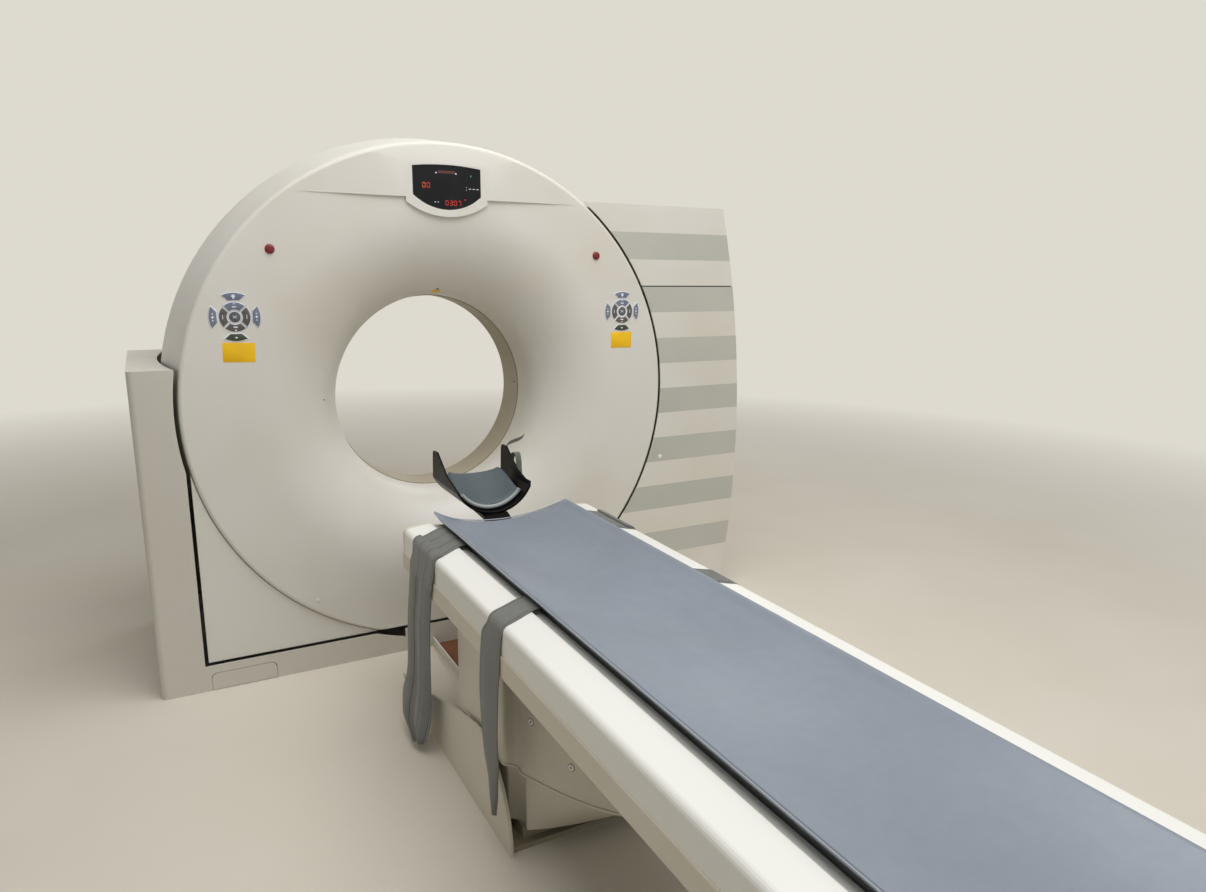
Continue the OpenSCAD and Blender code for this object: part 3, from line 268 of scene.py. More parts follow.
def woven(name, color, dark):
    """Woven webbing: crossing threads and a soft nap."""
    look = Look(name, color, 0.92, Sheen_Weight=0.35, Sheen_Roughness=0.5)
    turns = 2 * math.pi / THREAD_PITCH
    warp = look.math("SINE", look.times(look.axis(1), turns))
    weft = look.math("SINE", look.times(look.math("ADD", look.axis(2), look.axis(0)), turns))
    nap = look.mix(look.cloud(0.3, 0.75, 160, 6, 0.75), color, dark)
    wear = look.times(look.cloud(0.4, 0.7, 12, 5, 0.65), 0.5)
    look.paint(look.mix(wear, nap, tint(color, 1.25)))
    look.bump(look.times(warp, weft), 0.0004, 0.6)
    look.bump(look.noise(300, 4, 0.7), 0.0006, 0.5)
    return look


def lit(name, color, strength):
    return Look(name, color, 0.4, Emission_Color=color, Emission_Strength=strength)


DUCT_INSIDE_X, DUCT_FLOOR_Z = 0.0945, 0.0045


def duct_look():
    """Pale channel with a rusty inside."""
    look = moulded("duct_plastic", rgb(214, 211, 203), AGED, 0.5, floor_dirt=True)
    inside = look.math("LESS_THAN", look.math("ABSOLUTE", look.axis(0)), DUCT_INSIDE_X)
    inside = look.times(inside, look.math("GREATER_THAN", look.axis(2), DUCT_FLOOR_Z))
    rust = look.mix(look.cloud(0.35, 0.7, 18, 6, 0.7), rgb(122, 76, 46), rgb(98, 58, 36))
    look.paint(look.mix(inside, look.base(), rust))
    return look


def carbon_look():
    """Black laminate with a fine twill, 4.5 mm to the turn."""
    look = Look("cradle_laminate", rgb(38, 38, 40), 0.3, Coat_Weight=0.5, Coat_Roughness=0.1)
    along = look.math("ADD", look.axis(0), look.axis(1))
    twill = look.math("SINE", look.times(along, 1400))
    look.paint(look.mix(look.span(twill, -1, 1), rgb(28, 28, 30), rgb(48, 48, 51)))
    look.bump(look.noise(200, 3), 0.0001, 0.3)
    return look


def glossy(name, color, rough, coat, specular=0.5):
    """Smooth plastic, faintly clouded, under an optional clear coat."""
    look = Look(name, color, rough, Coat_Weight=coat, Coat_Roughness=0.06, Specular_IOR_Level=specular)
    look.paint(look.mix(look.cloud(0.4, 0.7, 7, 5), color, tint(color, 1.35)))
    look.roughness(look.span(look.noise(16, 6, 0.7), 0.35, 0.75, rough, rough + 0.14))
    return look


LOOKS = {
    "cover": moulded("gantry_plastic", WHITE, AGED, 0.4),
    # Darker than the cover's white: painted shade of the left column and the skirts, which the service
    # hatch shares
    "base": moulded("base_plastic_painted_shade", rgb(204, 200, 191), rgb(197, 190, 173), 0.42, floor_dirt=True),
    "stripes": striped_look(),
    "rail": moulded("rail_plastic", rgb(236, 235, 229), rgb(226, 222, 209), 0.28, 0.00006, worn=0.05),
    "fascia": moulded("fascia_plastic", rgb(214, 208, 192), rgb(203, 193, 168), 0.42),
    "pedestal": moulded("pedestal_plastic", rgb(210, 204, 189), rgb(196, 186, 160), 0.42,
                        floor_dirt=True),
    "ring": moulded("bore_cream", rgb(180, 171, 147), rgb(165, 153, 124), 0.42),
    "duct": duct_look(),
    # The foot's dark colour is painted shade, that of the recess under the lower cover
    "plinth": enamel("plinth_painted_shade", rgb(150, 140, 120), 0.6),
    "frame": enamel("frame_paint", rgb(150, 153, 156)),
    "unit": enamel("unit_paint", rgb(96, 100, 106)),
    "ground": metal("ground_steel", rgb(190, 192, 196), 0.3, (1, 12, 1)),
    "cast": metal("cast_aluminium", rgb(196, 198, 200), 0.4),
    "brass": metal("ring_brass", rgb(206, 168, 96), 0.28, (1, 14, 1)),
    "laminate": carbon_look(),
    "vinyl": vinyl("mat_vinyl", rgb(132, 141, 153), rgb(121, 130, 141)),
    "stitch": woven("strap_stitch", rgb(64, 62, 56), rgb(54, 52, 46)),
    # Webbing grey: its own colour, set darker to paint part of the shade on the hanging ends
    "strap": woven("strap_cloth", rgb(112, 113, 109), rgb(92, 92, 86)),
    "gloss": glossy("holder_gloss", rgb(9, 8, 9), 0.3, 0.0, 0.08),
    # Darkened from the cushion's own colour: painted shade over the head cushion; the mouth's specks
    # share it
    "pad": vinyl("pad_cover_painted_shade", rgb(76, 87, 94), rgb(68, 78, 85), 0.5),
    "welt": vinyl("mat_welt", rgb(166, 173, 182), rgb(150, 158, 168), 0.45),
    "pad_rim": vinyl("pad_rim", rgb(168, 176, 172), rgb(150, 158, 156), 0.5),
    "window": glossy("display_window", rgb(14, 14, 17), 0.2, 0.0, 0.12),
    "key_silver": glossy("key_silver", rgb(106, 114, 134), 0.3, 0.3),
    "key_brown": glossy("key_brown", rgb(80, 74, 72), 0.38, 0.2),
    "key_grey": glossy("key_grey", rgb(78, 80, 86), 0.34, 0.2),
    "key_green": glossy("key_green", rgb(44, 54, 40), 0.34, 0.3),
    "key_rim": glossy("key_rim", rgb(238, 241, 248), 0.3, 0.2),
    "icon": glossy("icon_ink", rgb(226, 232, 240), 0.4, 0.1),
    "red": glossy("stop_red", rgb(126, 10, 13), 0.42, 0.1),
    "dark": glossy("dark_plastic", rgb(30, 28, 28), 0.4, 0.1),
    "plate": enamel("yellow_plate", rgb(250, 196, 0), 0.6),
    "digit": lit("digit_red", rgb(200, 44, 30), 0.7),
    "amber": lit("digit_amber", rgb(200, 96, 34), 0.6),
    "dim": lit("lamp_dim", rgb(70, 20, 20), 0.25),
    "pale": lit("lamp_pale", rgb(182, 184, 188), 0.5),
    "lamp_green": lit("lamp_green", rgb(70, 150, 90), 0.6),
    "chrome": metal("ring_chrome", rgb(214, 212, 200), 0.2),
}

CAD_LOOKS = {
    "cover": "front_cover rear_cover corner_panels",
    "base": "left_column_cover base_skirts service_hatch",
    "stripes": "side_cover_upper side_cover_lower",
    "rail": "top_rails",
    "fascia": "side_fascias end_caps",
    "pedestal": "side_panels lower_cover middle_cover upper_cover",
    "ring": "bore_ring",
    "duct": "floor_duct",
    "plinth": "pedestal_foot",
    "frame": "base_frame support_posts column_outer tilt_frame table_frame",
    "unit": "tilt_drive collimator detector_arc generator xray_tube tube_cooler",
    "ground": "trunnion_bearings rotor_bearing column_middle",
    "cast": "rotor_disc",
    "brass": "slip_ring",
    "laminate": "cradle",
    "gloss": "head_holder",
    "window": "display_panel",
}


def dress_cad():
    for key, names in CAD_LOOKS.items():
        for name in names.split():
            obj = NODES[name]
            obj.data.materials.clear()
            obj.data.materials.append(LOOKS[key].mat)


def edit_mesh(obj, work):
    bm = bmesh.new()
    bm.from_mesh(obj.data)
    work(bm)
    bm.to_mesh(obj.data)
    bm.free()


def make_cover_shell():
    """The front cover's own shape with its facets shaded as one surface."""
    node = NODES["front_cover"]
    obj = add_object("front_cover_shell", node.data.copy())
    obj.matrix_world = node.matrix_world.copy()
    limit = math.radians(24)

    def smooth(bm):
        bmesh.ops.remove_doubles(bm, verts=bm.verts, dist=0.00001)
        for face in bm.faces:
            face.smooth = True
        for e in bm.edges:
            e.smooth = len(e.link_faces) == 2 and e.calc_face_angle(0) <= limit

    edit_mesh(obj, smooth)
    obj.data.materials.clear()
    obj.data.materials.append(LOOKS["cover"].mat)
    weighted = obj.modifiers.new("shading", "WEIGHTED_NORMAL")
    weighted.keep_sharp = True
    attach(obj, "tilt")
    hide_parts("front_cover")


# The pedestal's lower cover: a thin shell whose belly tapers down to its foot
COVER_HALF, COVER_HEAD, CORNER_R = 0.268, -1.12, 0.036
BELLY_HALF, BELLY_START = 0.245, -1.528
LOWER_Z, TAPER_Z, LOWER_TOP = 0.048, 0.218, 0.332
BELLY_FOOT, BELLY_FULL = 0.045, 0.279
LOWER_INSET = 0.011
BEAD_R, BEAD_BACK, FLUTE_R, FLUTE_STEP = 0.02, 0.066, 0.03, 0.024
LOWER_WALL, LOWER_TUCK, TUCK_H = 0.004, 0.0012, 0.003


def plan_arc(centre, r, start, end, steps):
    """Points of an arc in plan, angles in degrees from +X."""
    angles = [math.radians(start + (end - start) * k / steps) for k in range(steps + 1)]
    return [(centre[0] + r * math.cos(a), centre[1] + r * math.sin(a)) for a in angles]


def lower_outline(z, inward):
    """The cover's outline at a height, drawn in by the given amount."""
    inset = LOWER_INSET + inward
    turn = math.degrees(math.acos(FLUTE_STEP / (BEAD_R + FLUTE_R)))
    bead = (COVER_HALF - BEAD_R, BELLY_START + BEAD_BACK)
    flute = (bead[0] + FLUTE_STEP, bead[1] - (BEAD_R + FLUTE_R) * math.sin(math.radians(turn)))
    side = plan_arc((COVER_HALF - CORNER_R, COVER_HEAD - CORNER_R), CORNER_R - inset, 90, 0, 8)
    side += plan_arc(bead, BEAD_R - inset, 0, -turn, 6)
    side += plan_arc(flute, FLUTE_R + inset, 180 - turn, 205, 8)[1:]
    share = min(1.0, (z - LOWER_Z) / (TAPER_Z - LOWER_Z))
    deep = BELLY_FOOT + (BELLY_FULL - BELLY_FOOT) * share - inward
    half = BELLY_HALF - inset
    spots = [k / 28 - 1 for k in range(57)]
    belly = [(half * x, BELLY_START - deep * (1 - abs(x) ** 2.2)) for x in spots]
    return [(-x, y) for x, y in side] + belly + side[::-1]


def make_lower_shell():
    heights = [LOWER_Z, LOWER_Z + LOWER_TUCK, LOWER_Z + TUCK_H]
    heights += [LOWER_Z + TUCK_H + (TAPER_Z - LOWER_Z - TUCK_H) * k / 20 for k in range(1, 21)]
    heights += [TAPER_Z + (LOWER_TOP - TAPER_Z) * k / 8 for k in range(1, 9)]
    walls = [(z, LOWER_TUCK * max(0.0, 1 - (z - LOWER_Z) / TUCK_H) ** 2) for z in heights]
    walls += [(z, LOWER_WALL) for z in reversed(heights)]
    verts = [(x, y, z) for z, inward in walls for x, y in lower_outline(z, inward)]
    faces = quads(len(walls), len(verts) // len(walls), True, True)
    shell = new_piece("lower_cover_shell", verts, faces, [LOOKS["pedestal"]])
    fix_normals(shell)
    smooth_by_angle(shell, 30)
    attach(shell, "base")
    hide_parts("lower_cover")


# Mesh helpers
def quads(rows, cols, wrap_rows=False, wrap_cols=False, base=0):
    """Faces between the points of a grid, which may close on itself either way."""
    faces = []
    for j in range(rows if wrap_rows else rows - 1):
        a, b = base + j * cols, base + (j + 1) % rows * cols
        for i in range(cols if wrap_cols else cols - 1):
            k = (i + 1) % cols
            faces.append((a + i, a + k, b + k, b + i))
    return faces


def new_piece(name, verts, faces, looks, slots=None, smooth=True):
    mesh = bpy.data.meshes.new(name)
    mesh.from_pydata([tuple(v) for v in verts], [], faces)
    for look in looks:
        mesh.materials.append(look.mat)
    if slots:
        mesh.polygons.foreach_set("material_index", slots)
    mesh.polygons.foreach_set("use_smooth", [smooth] * len(mesh.polygons))
    mesh.update()
    return add_object(name, mesh)


def fix_normals(obj):
    edit_mesh(obj, lambda bm: bmesh.ops.recalc_face_normals(bm, faces=bm.faces))


def smooth_by_angle(obj, degrees):
    limit = math.radians(degrees)

    def sharpen(bm):
        for e in bm.edges:
            e.smooth = not (len(e.link_faces) == 2 and e.calc_face_angle(0) > limit)

    edit_mesh(obj, sharpen)


def round_off(obj):
    soft = obj.modifiers.new("rounding", "SUBSURF")
    soft.levels = soft.render_levels = 1


def thicken(obj, thickness, offset):
    solid = obj.modifiers.new("thickness", "SOLIDIFY")
    solid.thickness = thickness
    solid.offset = offset
    round_off(obj)


def circle(r, n, cx=0.0, cz=0.0):
    angles = [2 * math.pi * i / n for i in range(n)]
    return [(cx + r * math.cos(a), cz + r * math.sin(a)) for a in angles]


class Build:
    """Collects several closed forms, each with its own look, into one piece."""

    def __init__(self):
        self.verts, self.faces, self.slots, self.looks = [], [], [], []

    def slot(self, look):
        if look not in self.looks:
            self.looks.append(look)
        return self.looks.index(look)

    def add(self, verts, faces, look):
        n, s = len(self.verts), self.slot(look)
        self.verts += [Vector(v) for v in verts]
        self.faces += [tuple(i + n for i in f) for f in faces]
        self.slots += [s] * len(faces)

    def prism(self, outline, y_back, y_front, look, bevel=0.0, rim=None):
        """A plate with the given outline in X and Z whose face looks towards the table."""
        steps = [(0.0, y_back), (0.0, y_front)]
        if bevel > 0:
            steps[1:] = [(0.0, y_front + bevel), (bevel * 0.35, y_front + bevel * 0.3), (bevel, y_front)]
        verts = [(x, y, z) for d, y in steps for x, z in inset(outline, d)]
        n = len(outline)
        top = len(verts) - n
        sides = [(k + i, k + n + i, k + n + (i + 1) % n, k + (i + 1) % n)
                 for k in range(0, top, n) for i in range(n)]
        base = len(self.verts)
        self.add(verts, sides, rim or look)
        for cap in (range(n), range(top + n - 1, top - 1, -1)):
            self.faces.append(tuple(i + base for i in cap))
            self.slots.append(self.slot(look))

    def tube(self, points, r, look, sides=8, closed=False):
        """A round bar along a list of points."""
        n = len(points)
        verts = []
        for i, p in enumerate(points):
            a = points[(i - 1) % n] if (closed or i > 0) else p
            b = points[(i + 1) % n] if (closed or i < n - 1) else p
            t = (Vector(b) - Vector(a)).normalized()
            ref = Vector((0, 0, 1)) if abs(t.z) < 0.9 else Vector((0, 1, 0))
            u = t.cross(ref).normalized()
            w = t.cross(u)
            verts += [Vector(p) + r * (c * u + s * w) for c, s in circle(1.0, sides)]
        faces = quads(n, sides, closed, True)
        if not closed:
            faces.append(tuple(reversed(range(sides))))
            faces.append(tuple(range((n - 1) * sides, n * sides)))
        self.add(verts, faces, look)

    def piece(self, name, smooth_angle=35):
        obj = new_piece(name, self.verts, self.faces, self.looks, self.slots)
        fix_normals(obj)
        smooth_by_angle(obj, smooth_angle)
        return obj


def inset(outline, d):
    """Moves a closed outline inwards by d along the mitre of its corners."""
    if d == 0:
        return list(outline)
    n = len(outline)
    pairs = [(outline[i], outline[(i + 1) % n]) for i in range(n)]
    area = sum(p[0] * q[1] - q[0] * p[1] for p, q in pairs)
    way = 1 if area > 0 else -1
    out = []
    for i in range(n):
        p, a, b = Vector(outline[i]), Vector(outline[i - 1]), Vector(outline[(i + 1) % n])
        e1, e2 = (p - a).normalized(), (b - p).normalized()
        n1, n2 = Vector((-e1.y, e1.x)) * way, Vector((-e2.y, e2.x)) * way
        m = n1 + n2
        if m.length < 1e-6:
            m = n1
        m.normalize()
        k = max(0.35, m.dot(n1))
        out.append(tuple(p + m * (d / k)))
    return out


# Keys
def turned(points, degrees):
    a = math.radians(degrees)
    c, s = math.cos(a), math.sin(a)
    return [(x * c - z * s, x * s + z * c) for x, z in points]


def arc(r, a0, a1, n):
    """Points of an arc about the origin, angles in degrees from straight up, clockwise."""
    angles = [math.radians(a0 + (a1 - a0) * i / (n - 1)) for i in range(n)]
    return [(r * math.sin(a), r * math.cos(a)) for a in angles]


def key_outline(i):
    """The centre key, a sector of the ring round it, or a wing outside the ring."""
    if i == 0:
        return circle(0.018, 32)
    if i <= 4:
        pts = arc(0.046, -43.2, 43.2, 15) + arc(0.0215, 41.2, -41.2, 9)
        return turned(pts, 90 * (i - 1))
    pts = arc(0.0745, -28.3, 28.3, 11) + [(0.017, 0.049), (-0.017, 0.049)]
    return turned(pts, 90 * (i - 5))


def placed(points, cx, cz):
    return [(cx + x, cz + z) for x, z in points]


def arrow(size, degrees):
    s = size
    return turned([(-s, -0.4 * s), (0, 0.7 * s), (s, -0.4 * s)], degrees)


def bar(w, h, dx=0.0, dz=0.0):
    return [(dx + sx * w / 2, dz + sz * h / 2) for sx, sz in ((-1, -1), (1, -1), (1, 1), (-1, 1))]


def key_icons(i):
    """Light marks on a key: arrows, a dot and short bars."""
    if i == 0:
        return [turned(bar(0.013, 0.0016), a) for a in (35, -35)]
    if i in (1, 3):
        marks = [placed(arrow(0.0038, 0), 0, 0.04), bar(0.012, 0.0035, 0, 0.0305)]
    elif i in (2, 4):
        marks = [bar(0.012, 0.0018, 0, 0.034)]
    elif i == 5:
        marks = [circle(0.0052, 14, 0, 0.0625), placed(arrow(0.0034, 180), 0, 0.056)]
    elif i == 7:
        marks = [placed(arrow(0.0048, 0), 0, 0.0625)]
    else:
        marks = [placed(arrow(0.0035, way * 90), way * 0.01, 0.062) for way in (1, -1)]
        marks.append(circle(0.0034, 12, 0, 0.062))
    return [turned(mark, 90 * ((i - 1) % 4)) for mark in marks]


KEY_LOOK = ("key_grey", "key_silver", "key_brown", "key_brown", "key_brown",
            "key_silver", "key_silver", "key_green", "key_silver")
KEY_PROUD, KEY_DEPTH, KEY_BEVEL = 0.002, 0.008, 0.0016
INK = 0.0003
KEY_LINES = (0.0198, 0.0474)
STOP_X, STOP_H, STOP_R = 0.566, 0.505, 0.0138


def make_keys():
    for side, sign in (("left", -1), ("right", 1)):
        cx, cz = sign * PANEL_X, AXIS_H + PANEL_H
        for i, key in enumerate(KEYS):
            node = "%s_key_%s" % (side, key)
            build = Build()
            top = FACE_Y - KEY_PROUD
            build.prism(placed(key_outline(i), cx, cz), FACE_Y + KEY_DEPTH, top,
                        LOOKS[KEY_LOOK[i]], KEY_BEVEL, LOOKS["key_rim"])
            for mark in key_icons(i):
                build.prism(placed(mark, cx, cz), top + INK, top - INK, LOOKS["icon"])
            cap = build.piece(node + "_cap")
            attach(cap, node + "_body")
            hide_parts(node)
        make_stop(side, sign)
        make_key_trim(side, cx, cz)


def make_key_trim(side, cx, cz):
    """Light lines printed round the centre key and outside the ring of keys."""
    build = Build()
    for r in KEY_LINES:
        ring(build, cx, cz, r - 0.0006, r + 0.0006, FACE_Y, FACE_Y - 0.0004, LOOKS["icon"])
    trim = build.piece(side + "_key_lines")
    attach(trim, "tilt")


def ring(build, cx, cz, r0, r1, y_back, y_front, look, n=48):
    """A flat ring around a point of the face."""
    edges = ((r0, y_back), (r0, y_front), (r1, y_front), (r1, y_back))
    verts = [(cx + r * c, y, cz + r * s) for c, s in circle(1.0, n) for r, y in edges]
    build.add(verts, quads(n, 4, True, True), look)


def dome(build, cx, cz, r, y0, height, look, n=32):
    """A round cap that bulges towards the table."""
    rings = 6
    verts = [(x, FACE_Y + 0.006, z) for x, z in circle(r, n, cx, cz)]
    for i in range(rings):
        t = i / rings * math.pi / 2
        verts += [(x, y0 - height * math.sin(t), z) for x, z in circle(r * math.cos(t), n, cx, cz)]
    verts.append((cx, y0 - height, cz))
    faces = [tuple(range(n))] + quads(rings + 1, n, False, True)
    faces += [(rings * n + k, rings * n + (k + 1) % n, (rings + 1) * n) for k in range(n)]
    build.add(verts, faces, look)


def make_stop(side, sign):
    node = side + "_stop_button"
    cx, cz = sign * STOP_X, AXIS_H + STOP_H
    build = Build()
    dome(build, cx, cz, STOP_R, FACE_Y - 0.0035, 0.0044, LOOKS["red"])
    ring(build, cx, cz, 0.005, 0.0062, FACE_Y - 0.0074, FACE_Y - 0.0078, LOOKS["dark"], 24)
    cap = build.piece(node + "_cap")
    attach(cap, node + "_body")
    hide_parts(node)


# Display: digits, bars and lamps on the smoked window
SEGMENTS = {"0": "abcdef", "3": "abgcd", "7": "abc"}
WINDOW_Y = FACE_Y - 0.007
DIGIT_W, STROKE = 0.0085, 0.11


def digit(build, char, cx, cz, h, look):
    w, t = DIGIT_W, h * STROKE
    x, z = w / 2, h / 4
    spots = {"a": (0, h / 2, 1), "g": (0, 0, 1), "d": (0, -h / 2, 1),
             "f": (-x, z, 0), "b": (x, z, 0), "e": (-x, -z, 0), "c": (x, -z, 0)}
    for key in SEGMENTS[char]:
        dx, dz, flat = spots[key]
        size = (w - 1.3 * t, t) if flat else (t, h / 2 - 1.3 * t)
        build.prism(bar(*size, cx + dx, cz + dz), WINDOW_Y + 0.0004, WINDOW_Y - INK, look)


# Digits: character, X, height above the bore axis, height, look
DIGITS = [("0", -0.079, 0.719, 0.0155, "amber"), ("0", -0.064, 0.719, 0.0155, "digit")]
DIGITS += [(char, -0.002 + 0.0145 * i, 0.6655, 0.0145, "digit") for i, char in enumerate("0307")]
# Bars and lamps: X, height above the bore axis, width, height, look
WINDOW_MARKS = (
    (0.079, 0.7135, 0.0075, 0.0022, "pale"),
    (0.0925, 0.7135, 0.0075, 0.0022, "pale"),
    (0.106, 0.7135, 0.0075, 0.0022, "pale"),
    (0.067, 0.7175, 0.0022, 0.0022, "pale"),
    (0.067, 0.7095, 0.0022, 0.0022, "pale"),
    (-0.002, 0.763, 0.058, 0.0085, "dim"),
    (-0.037, 0.7595, 0.005, 0.004, "pale"),
    (0.031, 0.7595, 0.005, 0.004, "pale"),
    (-0.042, 0.667, 0.0035, 0.0028, "pale"),
    (-0.032, 0.667, 0.0035, 0.0028, "pale"),
    (0.062, 0.678, 0.0035, 0.003, "digit"),
    (0.083, 0.755, 0.0028, 0.005, "lamp_green"),
)


def make_display():
    build = Build()
    for char, x, z, h, look in DIGITS:
        digit(build, char, x, AXIS_H + z, h, LOOKS[look])
    for x, z, w, h, look in WINDOW_MARKS:
        build.prism(bar(w, h, x, AXIS_H + z), WINDOW_Y + 0.0004, WINDOW_Y - INK, LOOKS[look])
    marks = build.piece("display_marks")
    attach(marks, "tilt")


# Plates, caps and small marks
def rounded(w, h, r):
    """A rectangle about the origin with rounded corners."""
    pts = []
    for sx, sz, a0 in ((1, 1, 0), (-1, 1, 90), (-1, -1, 180), (1, -1, 270)):
        for i in range(5):
            a = math.radians(a0 + 22.5 * i)
            pts.append((sx * (w / 2 - r) + r * math.cos(a), sz * (h / 2 - r) + r * math.sin(a)))
    return pts


# Yellow plates: X, Z, width, height, lean in degrees
PLATES = ((-0.676, 1.098, 0.093, 0.06, -2.0), (0.679, 1.098, 0.09, 0.06, 0.0))
MOUTH_SPECKS = ((-0.42, 0.923), (0.32, 0.93))
CAP_R, SPECK_R = 0.0085, 0.003
# Screw caps of the pedestal: place and the way that each faces
PEDESTAL_CAPS = (
    (Vector((-0.234, -1.5551, 0.3487)), Vector((-0.927, -0.376, 0.0))),
    (Vector((-0.1844, -1.6628, 0.2794)), Vector((-0.88, -0.475, 0.0))),
)
# Mark at the top of the mouth: look, X from and to, distance from the bore axis from and to
MOUTH_MARKS = (("plate", -0.016, 0.014, 0.37, 0.376), ("dark", -0.004, 0.004, 0.3795, 0.3835))


def make_trim():
    build = Build()
    for x, z, w, h, lean in PLATES:
        outline = turned(rounded(w, h, 0.002), lean)
        build.prism(placed(outline, x, z), FACE_Y + 0.0002, FACE_Y - 0.0006, LOOKS["plate"], 0.0002)
    plates = build.piece("yellow_plates")
    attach(plates, "tilt")

    build = Build()
    for x, z in MOUTH_SPECKS:
        build.prism(circle(SPECK_R, 12, x, z), face_y(x, z) + 0.003, face_y(x, z) - 0.0006, LOOKS["pad"])
    dome(build, -0.492, 0.249, CAP_R, FACE_Y - 0.0002, 0.0016, LOOKS["cover"], 24)
    specks = build.piece("face_caps")
    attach(specks, "tilt")

    build = Build()
    dome(build, 0.871, 0.62, CAP_R, FACE_Y - 0.0002, 0.0016, LOOKS["rail"], 24)
    cap = build.piece("side_cap")
    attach(cap, "base")

    build = Build()
    for spot, way in PEDESTAL_CAPS:
        for out, r, look, sides in ((0.0004, 0.0092, "dark", 24), (0.0014, 0.0078, "rail", 24),
                                    (0.0017, 0.0022, "dark", 12)):
            build.tube([spot - way * 0.002, spot + way * out], r, LOOKS[look], sides)
    screws = build.piece("pedestal_caps")
    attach(screws, "table")

    build = Build()
    for key, x0, x1, r0, r1 in MOUTH_MARKS:
        spots = []
        for lift in (-0.001, 0.0006):
            for x, r in ((x0, r0), (x1, r0), (x1, r1), (x0, r1)):
                z = AXIS_H + r
                spots.append((x, face_y(x, z) - lift * 0.4, z - lift))
        faces = [(0, 1, 2, 3), (7, 6, 5, 4), (0, 4, 5, 1), (1, 5, 6, 2), (2, 6, 7, 3), (3, 7, 4, 0)]
        build.add(spots, faces, LOOKS[key])
    mark = build.piece("mouth_mark")
    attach(mark, "tilt")


# The mouth: radius where it leaves the face and where it meets the bore, and its Y there
MOUTH_R, BORE_R, BORE_Y = 0.655, 0.361, -0.148


def face_y(x, z):
    """Where the front face or the mouth lies at a point of the front view."""
    r = math.hypot(x, z - AXIS_H)
    if r >= MOUTH_R:
        return FACE_Y
    c = 1 - (r - BORE_R) / (MOUTH_R - BORE_R)
    return BORE_Y + (FACE_Y - BORE_Y) * math.sqrt(max(0.0, 1 - c * c))


# The mat: a dished vinyl pad with a rolled edge
MAT_HEAD, MAT_LEN = -0.818, 2.28
MAT_HALF = 0.2155
MAT_MID_Z, MAT_EDGE_Z = 0.604, 0.6403
MAT_EDGE_T, MAT_MID_T = 0.011, 0.0217
CURL_R = 0.085


def mat_height(t):
    """Height of the mat's top, from -1 at one edge to 1 at the other."""
    return MAT_MID_Z + (MAT_EDGE_Z - MAT_MID_Z) * t * t


def mat_section(n):
    """Closed cross-section of the mat: across the top, round the edge, back underneath."""
    edge_r = MAT_EDGE_T / 2
    shares = [2 * i / n - 1 for i in range(n + 1)]
    pts = [(t * (MAT_HALF - 0.004), mat_height(t), t) for t in shares]
    cx, cz = MAT_HALF - edge_r, MAT_EDGE_Z - edge_r
    pts += [(cx + edge_r * math.cos(a), cz + edge_r * math.sin(a), 1) for a in (0.9, 0.3, -0.3, -0.9)]
    for t in shares:
        z = MAT_MID_Z - MAT_MID_T + (MAT_EDGE_Z - MAT_EDGE_T - MAT_MID_Z + MAT_MID_T) * t * t
        pts.append((-t * (MAT_HALF - 0.004), z, -t))
    pts += [(-cx - edge_r * math.cos(a), cz + edge_r * math.sin(a), -1) for a in (-0.9, -0.3, 0.3, 0.9)]
    return pts


def curl(x, y, z):
    """The mat's head corner on the left stands up a little and reaches forward."""
    d = math.hypot(x + MAT_HALF, y - MAT_HEAD)
    w = max(0.0, 1 - d / CURL_R) ** 2
    return (x - 0.004 * w, y + 0.006 * w, z + 0.013 * w)


def make_welts():
    """Sewn edging along the mat's sides and across its head end."""
    build = Build()
    y0, y1 = MAT_HEAD - 0.003, MAT_HEAD - MAT_LEN + 0.003
    for key, drop, r, out in (("welt", 0.0028, 0.0017, 0.0), ("dark", 0.0072, 0.0009, -0.0006)):
        z = MAT_EDGE_Z - drop
        for side in (-1, 1):
            x = side * (MAT_HALF - 0.0004 + out)
            pts = [Vector(curl(x, y0 + (y1 - y0) * (k / 60) ** 1.5, z)) for k in range(61)]
            build.tube(pts, r, LOOKS[key], 8)
        pts = [Vector(curl(t * (MAT_HALF - 0.001), MAT_HEAD + 0.0003 + out, mat_height(t) - drop))
               for t in (k / 20 - 1 for k in range(41))]
        build.tube(pts, r, LOOKS[key], 8)
    welts = build.piece("mat_welts", 60)
    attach(welts, "cradle")


def make_mat():
    section = mat_section(60)
    rows, n = 150, len(section)
    verts = []
    for j in range(rows + 1):
        y = MAT_HEAD - MAT_LEN * j / rows
        shrink = (0.3, 0.75, 1.0)[min(j, rows - j, 2)]
        y += (0.0008 if j < 5 else -0.0008) * (1 - shrink)
        for x, z, t in section:
            mid = mat_height(t) - 0.0055 - 0.005 * (1 - t * t)
            z2 = mid + (z - mid) * shrink
            upper = 1 if z > mid else 0
            ripple = noise.noise(Vector((x * 9, y * 2.2, 3.1))) * 0.0016
            ripple += noise.noise(Vector((x * 30, y * 7, 8.7))) * 0.0006
            band = 0.0012 * upper * max(0.0, min(1.0, (abs(t) - 0.9) / 0.02))
            verts.append(curl(x, y, z2 + band + ripple * upper * (1 - abs(t) ** 4 * 0.6)))
    faces = quads(rows + 1, n, False, True)
    faces.append(tuple(reversed(range(n))))
    faces.append(tuple(range(rows * n, rows * n + n)))
    mat = new_piece("mat_pad", verts, faces, [LOOKS["vinyl"]])
    fix_normals(mat)
    smooth_by_angle(mat, 60)
    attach(mat, "cradle")
    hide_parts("mat")
    make_welts()


